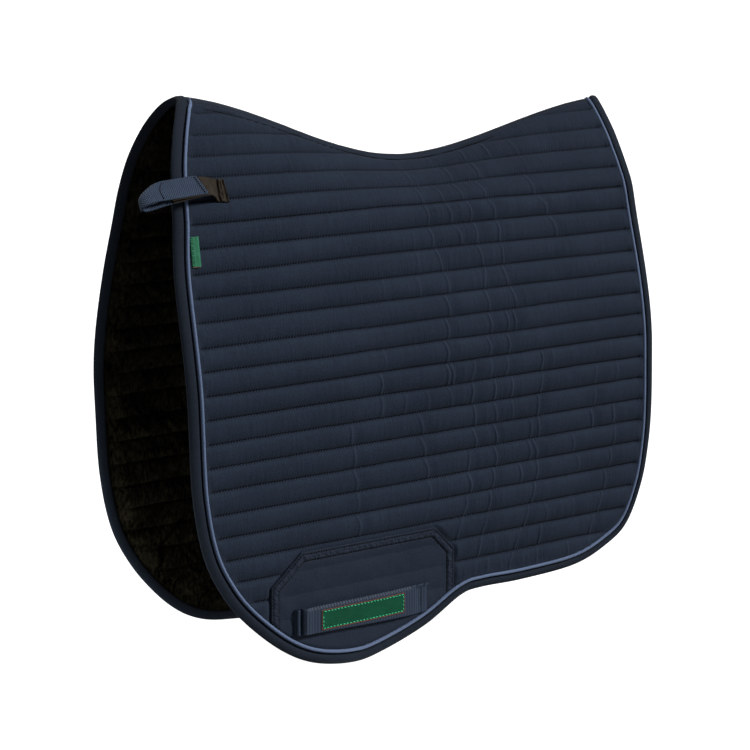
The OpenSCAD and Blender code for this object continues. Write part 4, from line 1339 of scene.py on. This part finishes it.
def billet(seed):
    made = {}
    made["anchor"], face, normal = anchor_sheet(seed)
    # dark stitching down the anchor, zigzag
    tt = np.linspace(2, 38, 25)
    uu = 37.4 + 1.0*np.where(np.arange(25) % 2, 1, -1)*np.linspace(1.0, 0.7, 25)
    line, tan, ls = even(np.stack([uu, tt], 1), 0.3)
    nrm = np.stack([tan[:, 1], -tan[:, 0]], 1)

    def on_face(a, b, w):
        ia, ib = np.clip(b, 0, 39.99), np.clip(a, 0, 59.99)
        i, j = np.floor(ia).astype(int), np.floor(ib).astype(int)
        f, g = (ia - i)[..., None], (ib - j)[..., None]
        q = (face[i, j]*(1 - f) + face[i + 1, j]*f)*(1 - g) + (face[i, j + 1]*(1 - f) + face[i + 1, j + 1]*f)*g
        return q - normal[i, j]*np.asarray(w)[..., None]

    sets = [thread_points(line, nrm, ls, lambda a, b: np.zeros_like(a), 2.6, 2.3, 0.42, 0.12)]
    made["anchor_thread"] = thread_object("near_billet_anchor_thread", sets, "far", M_BLACK_THREAD, place=lambda a, b, w: on_face(a, b, w)*np.array([1, -1, 1]))
    # strap from its root out to the eye and round it
    line = np.vstack([np.stack([np.linspace(0, EYE[0] + 6, 54), np.full(54, 0.05)], 1), oval(10.4, 4.25, 90, 292, 60)[1:]])
    made["strap"] = strap_ribbon("near_billet_web", line, 25.0, 1.5, M_WEB, bow=lambda s, a: 0.10*vnoise(s/7, a/9, seed))
    # loop tape on the strap's outer face
    line = np.stack([np.linspace(-1, -45, 40), np.full(40, -1.25)], 1)
    made["loop"] = strap_ribbon("near_billet_loop_strip", line, 24.4, 0.9, M_HOOK, z0=-0.6)
    # tail that wraps the eye and comes back over the strap
    arcs = oval(12.4, 6.15, 150, 268, 40)
    back = tail_frame(np.linspace(10, 74, 58), np.full(58, -6.15 - 0.9*np.linspace(1, 0, 58)**2))
    made["tail"] = strap_ribbon("near_billet_tail_web", np.vstack([arcs, back]), 25.0, 1.5, M_WEB,
                                bow=lambda s, a: 0.10*vnoise(s/7, a/9, seed + 4) + 0.35*np.exp(-((s - s.max() + 1.8)/1.5)**2))
    # hook tape under the tail
    line = tail_frame(np.linspace(28, 72, 44), np.full(44, -4.75))
    made["hook"] = strap_ribbon("near_billet_hook_strip", line, 24.6, 1.1, M_HOOK, z0=-0.7)
    # stitch lines across the tail
    sets = []
    for s0 in (69.6, 16.5):
        zz = np.linspace(-12.0, 12.0, 60)
        line = np.stack([np.full_like(zz, s0), zz], 1)
        q = thread_points(line, np.tile([1.0, 0.0], (60, 1)), zz - zz[0], lambda a, b: np.zeros_like(a), 2.8, 2.4, 0.75, 0.25)
        q[..., 2] = -7.0 - 0.9*((74 - s0)/60)**2*(s0 < 60) + q[..., 2]
        sets.append(q)

    def on_tail(a, b, w):
        q = tail_frame(a, w)
        return on_strap(q[..., 0], q[..., 1], b)

    made["tail_thread"] = thread_object("near_billet_tail_thread", sets, "near", M_BLACK_THREAD, place=on_tail)
    return made


# ---------------------------------------------------------------------------
# flag label
# ---------------------------------------------------------------------------


def flag():
    h = 31.0
    c, s = math.cos(math.radians(11)), math.sin(math.radians(11))
    y0, z0 = float(flap_y(np.array(152.0))), float(flap_z(np.array(152.0)))

    def put(x, y, z):
        return np.stack(np.broadcast_arrays(-326.4 + x + 0.03*z, -y0 + c*y + s*z, z0 - s*y + c*z), -1)

    # folded cloth: out from the seam, round the fold and back
    line = np.array([(0.2, -1.0), (4, -1.15), (7, -1.2), (9.0, -1.4), (10.0, -2.0), (10.2, -2.8), (9.6, -3.5), (8.2, -3.75), (6.2, -3.35), (4.4, -2.95), (0.2, -2.7)])
    p, t, sl = even(spline(line, 8), 0.4)
    nrm = np.stack([-t[:, 1], t[:, 0]], 1)
    hh = h/2
    prof = np.array([(-hh, 0.0), (-hh + 0.3, 0.24)] + [(u*(hh - 0.5), 0.26) for u in np.linspace(-1, 1, 21)] + [(hh - 0.3, 0.24), (hh, 0.0), (hh - 0.3, -0.24)]
                    + [(u*(hh - 0.5), -0.26) for u in np.linspace(1, -1, 21)] + [(-hh + 0.3, -0.24)])
    a, b = prof[:, 0][None], prof[:, 1][None]
    off = b + 0.14*vnoise(sl[:, None]/4, a/6, 77)
    x = p[:, None, 0] + nrm[:, None, 0]*off
    y = p[:, None, 1] + nrm[:, None, 1]*off
    uv = np.stack(np.broadcast_arrays(sl[:, None], a + np.where(prof[:, 1] < 0, 60, 0)[None]), -1)
    cloth = swept_object("flag_label_cloth", put(x, y, a + 0*x), "near", uv, M_FLAG)
    # whipped stitches along the seam, a ladder of short bars
    sets = []
    for i, z in enumerate(np.linspace(-hh + 1.6, hh - 1.0, 13)):
        tilt = 0.5 if i % 2 else -0.35
        line, tan, s2 = even(np.array([(0.4, z), (2.2, z + 0.5*tilt), (4.4, z + tilt)]), 0.25)
        nn = np.stack([tan[:, 1], -tan[:, 0]], 1)
        sets.append(thread_points(line, nn, s2, lambda a, b: np.full_like(a, -3.1), 3.9, 3.8, 0.52, 0.3, start=0.0))
    tack = thread_object("flag_label_thread", sets, "near", M_FLAG_THREAD, place=lambda a, b, w: put(a, w, b))
    # turned lower edge in the label's edge colour
    xs = np.linspace(0.6, 9.8, 30)
    ang = TAU*np.arange(8)/8
    yy = -3.1 - 0.55*np.exp(-((xs - 8.3)/2.0)**2)
    rr = 0.36
    x = np.repeat(xs[:, None], 8, 1)
    y = yy[:, None] + rr*np.sin(ang)[None]
    z = -hh + 0.1 + rr*np.cos(ang)[None] + 0*x
    uv = np.stack(np.broadcast_arrays(xs[:, None], ang[None]), -1)
    edge = swept_object("flag_label_edge", put(x, y, z), "near", uv, M_LABEL_EDGE)
    return cloth, tack, edge


def across_fold(o):
    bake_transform(o)
    return o


for side, seed, creases in (("near", 11, CREASES), ("far", 47, FAR_CREASES)):
    covers = cover_bands(side, seed, creases)
    for o in covers:
        across_fold(o)
    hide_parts(f"{side}_upper_cover", f"{side}_upper_core", f"{side}_fold_seam")
    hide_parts(f"{side}_flap_cover", f"{side}_flap_core")
    o = across_fold(seam_threads(side, seed))
    linings = lining_bands(side, seed + 100)
    for o in linings:
        across_fold(o)
    o = lining_stitching(side, seed + 100, SEWN[side])
    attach(o, f"{side}_flap")
    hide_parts(f"{side}_upper_lining")
    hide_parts(f"{side}_flap_lining")
    binding, piping = edging(side, seed)
    for o, s in ((binding, "binding_twill"), (piping, "piping_cord")):
        across_fold(o)
    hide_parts(f"{side}_flap_binding", *(["front_binding", "rear_binding"] if side == "near" else []))
    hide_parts(f"{side}_flap_piping", *(["front_piping", "rear_piping"] if side == "near" else []))
    patch, sewing = girth_patch(side, seed)
    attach(patch, f"{side}_flap")
    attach(sewing, f"{side}_flap")
    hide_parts(f"{side}_girth_patch")
    front, rear, tack_front, tack_rear = keeper(side, seed)
    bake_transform(front)
    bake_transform(rear)
    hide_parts(f"{side}_keeper_strap", f"{side}_keeper_ends")
    for o in (front, rear):
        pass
    for o in (tack_front, tack_rear):
        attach(o, f"{side}_flap")
    label, sewing, edge = keeper_label(side, seed)
    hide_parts(f"{side}_keeper_label")
    for o in (label, sewing, edge):
        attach(o, f"{side}_keeper")

b = billet(11)
for key, body, slot in (("anchor", "crown", "hook_and_loop"), ("anchor_thread", "crown", "thread"),
                        ("hook", "near_billet_tab", "hook_and_loop"), ("tail_thread", "near_billet_tab", "thread")):
    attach(b[key], body)
# bake the placement of the strap, its loop tape and the tail into their meshes
for key, bodies, x0, x1, slot in (("strap", ("crown", "near_billet"), 0, -12, "webbing"), ("loop", ("crown", "near_billet"), 0, -12, "hook_and_loop"),
                                  ("tail", ("near_billet", "near_billet_tab"), -80, -62, "webbing")):
    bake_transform(b[key])
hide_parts("near_billet_anchor", "near_billet_root")
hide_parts("near_billet_strap")
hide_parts("near_billet_tail")
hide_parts("near_billet_hook_tape")

top = spine_tape("spine_tape_cloth", -1.5, 0.9, M_TAPE, tape_half, -291, 278, 5)
low = spine_tape("spine_inner_tape_cloth", 12.0, 10.4, M_INNER_TAPE, lambda x: 15.0 + 0*x, -291, 278, 8)
sew = tape_threads("spine_tape_thread", -1.5, tape_half, -291, 278)
row = spine_stitching()
for o, s in ((top, "binding_twill"), (low, "binding_twill"), (sew, "thread"), (row, "thread")):
    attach(o, "crown")
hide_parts("spine_tape")
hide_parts("spine_inner_tape")

cloth, tack, edge = flag()
for o, s in ((cloth, "label_cloth"), (tack, "thread"), (edge, "label_cloth")):
    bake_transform(o)
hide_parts("flag_label")

# ---------------------------------------------------------------------------
# stage, light and camera
# ---------------------------------------------------------------------------
scene = bpy.context.scene
me = bpy.data.meshes.new("floor")
size, z = 40.0, -0.531
me.from_pydata([(-size, -size, z), (size, -size, z), (size, size, z), (-size, size, z)], [], [(0, 1, 2, 3)])
floor = bpy.data.objects.new("floor", me)
scene.collection.objects.link(floor)
fm = bpy.data.materials.new("floor_paper")
fm.use_nodes = True
fb = fm.node_tree.nodes["Principled BSDF"]
fb.inputs["Base Color"].default_value = (0.30, 0.30, 0.30, 1)
fb.inputs["Emission Color"].default_value = (1, 1, 1, 1)
fb.inputs["Emission Strength"].default_value = 1.05
fb.inputs["Roughness"].default_value = 0.9
fb.inputs["Specular IOR Level"].default_value = 0.0
me.materials.append(fm)
floor.visible_diffuse = False
floor.visible_glossy = False

world = bpy.data.worlds.new("studio")
scene.world = world
world.use_nodes = True
bg = world.node_tree.nodes["Background"]
bg.inputs[0].default_value = (1, 1, 1, 1)
bg.inputs[1].default_value = 0.20


def sun(name, azimuth, elevation, strength, spread):
    """Soft light from azimuth degrees round to the right of the near side."""
    d = bpy.data.lights.new(name, "SUN")
    d.energy = strength
    d.angle = math.radians(spread)
    o = bpy.data.objects.new(name, d)
    a, e = math.radians(azimuth), math.radians(elevation)
    back = Vector((math.sin(a)*math.cos(e), -math.cos(a)*math.cos(e), math.sin(e)))
    o.location = back*3
    o.rotation_mode = "QUATERNION"
    o.rotation_quaternion = (-back).to_track_quat("-Z", "Y")
    scene.collection.objects.link(o)
    return o


sun("key", 44, 29, 3.6, 12)
sun("top", 0, 82, 0.15, 80)
sun("rear", 190, 42, 1.0, 50)
sun("low", -75, 4, 0.16, 30)


def panel(name, place, aim, size, energy):
    """A soft panel of light that the camera does not see."""
    d = bpy.data.lights.new(name, "AREA")
    d.shape = "RECTANGLE"
    d.size, d.size_y, d.energy = size[0], size[1], energy
    o = bpy.data.objects.new(name, d)
    o.location = place
    o.rotation_mode = "QUATERNION"
    o.rotation_quaternion = (Vector(aim) - Vector(place)).to_track_quat("-Z", "Y")
    o.visible_camera = False
    scene.collection.objects.link(o)
    return o


# light off the pale floor between the two sides, and from ahead into the opening
panel("bounce", (-0.12, 0.0, -0.528), (-0.12, 0.0, 0.5), (0.10, 0.75), 0.10)
panel("throat", (-0.57, 0.0, -0.51), (-0.15, 0.085, -0.45), (0.06, 0.06), 0.85)

cam = bpy.data.cameras.new("camera")
cam.sensor_fit = "AUTO"
cam.sensor_width = 36
cam.lens = 125.46
cam.clip_start, cam.clip_end = 0.05, 200
camera = bpy.data.objects.new("camera", cam)
scene.collection.objects.link(camera)
look = Vector((0.60492, 0.77426, -0.18599)).normalized()
camera.location = Vector((-0.040, 0, -0.232)) - look*2.8944
camera.rotation_mode = "QUATERNION"
camera.rotation_quaternion = look.to_track_quat("-Z", "Y")
scene.camera = camera
scene.view_settings.view_transform = "Standard"
scene.view_settings.look = "None"
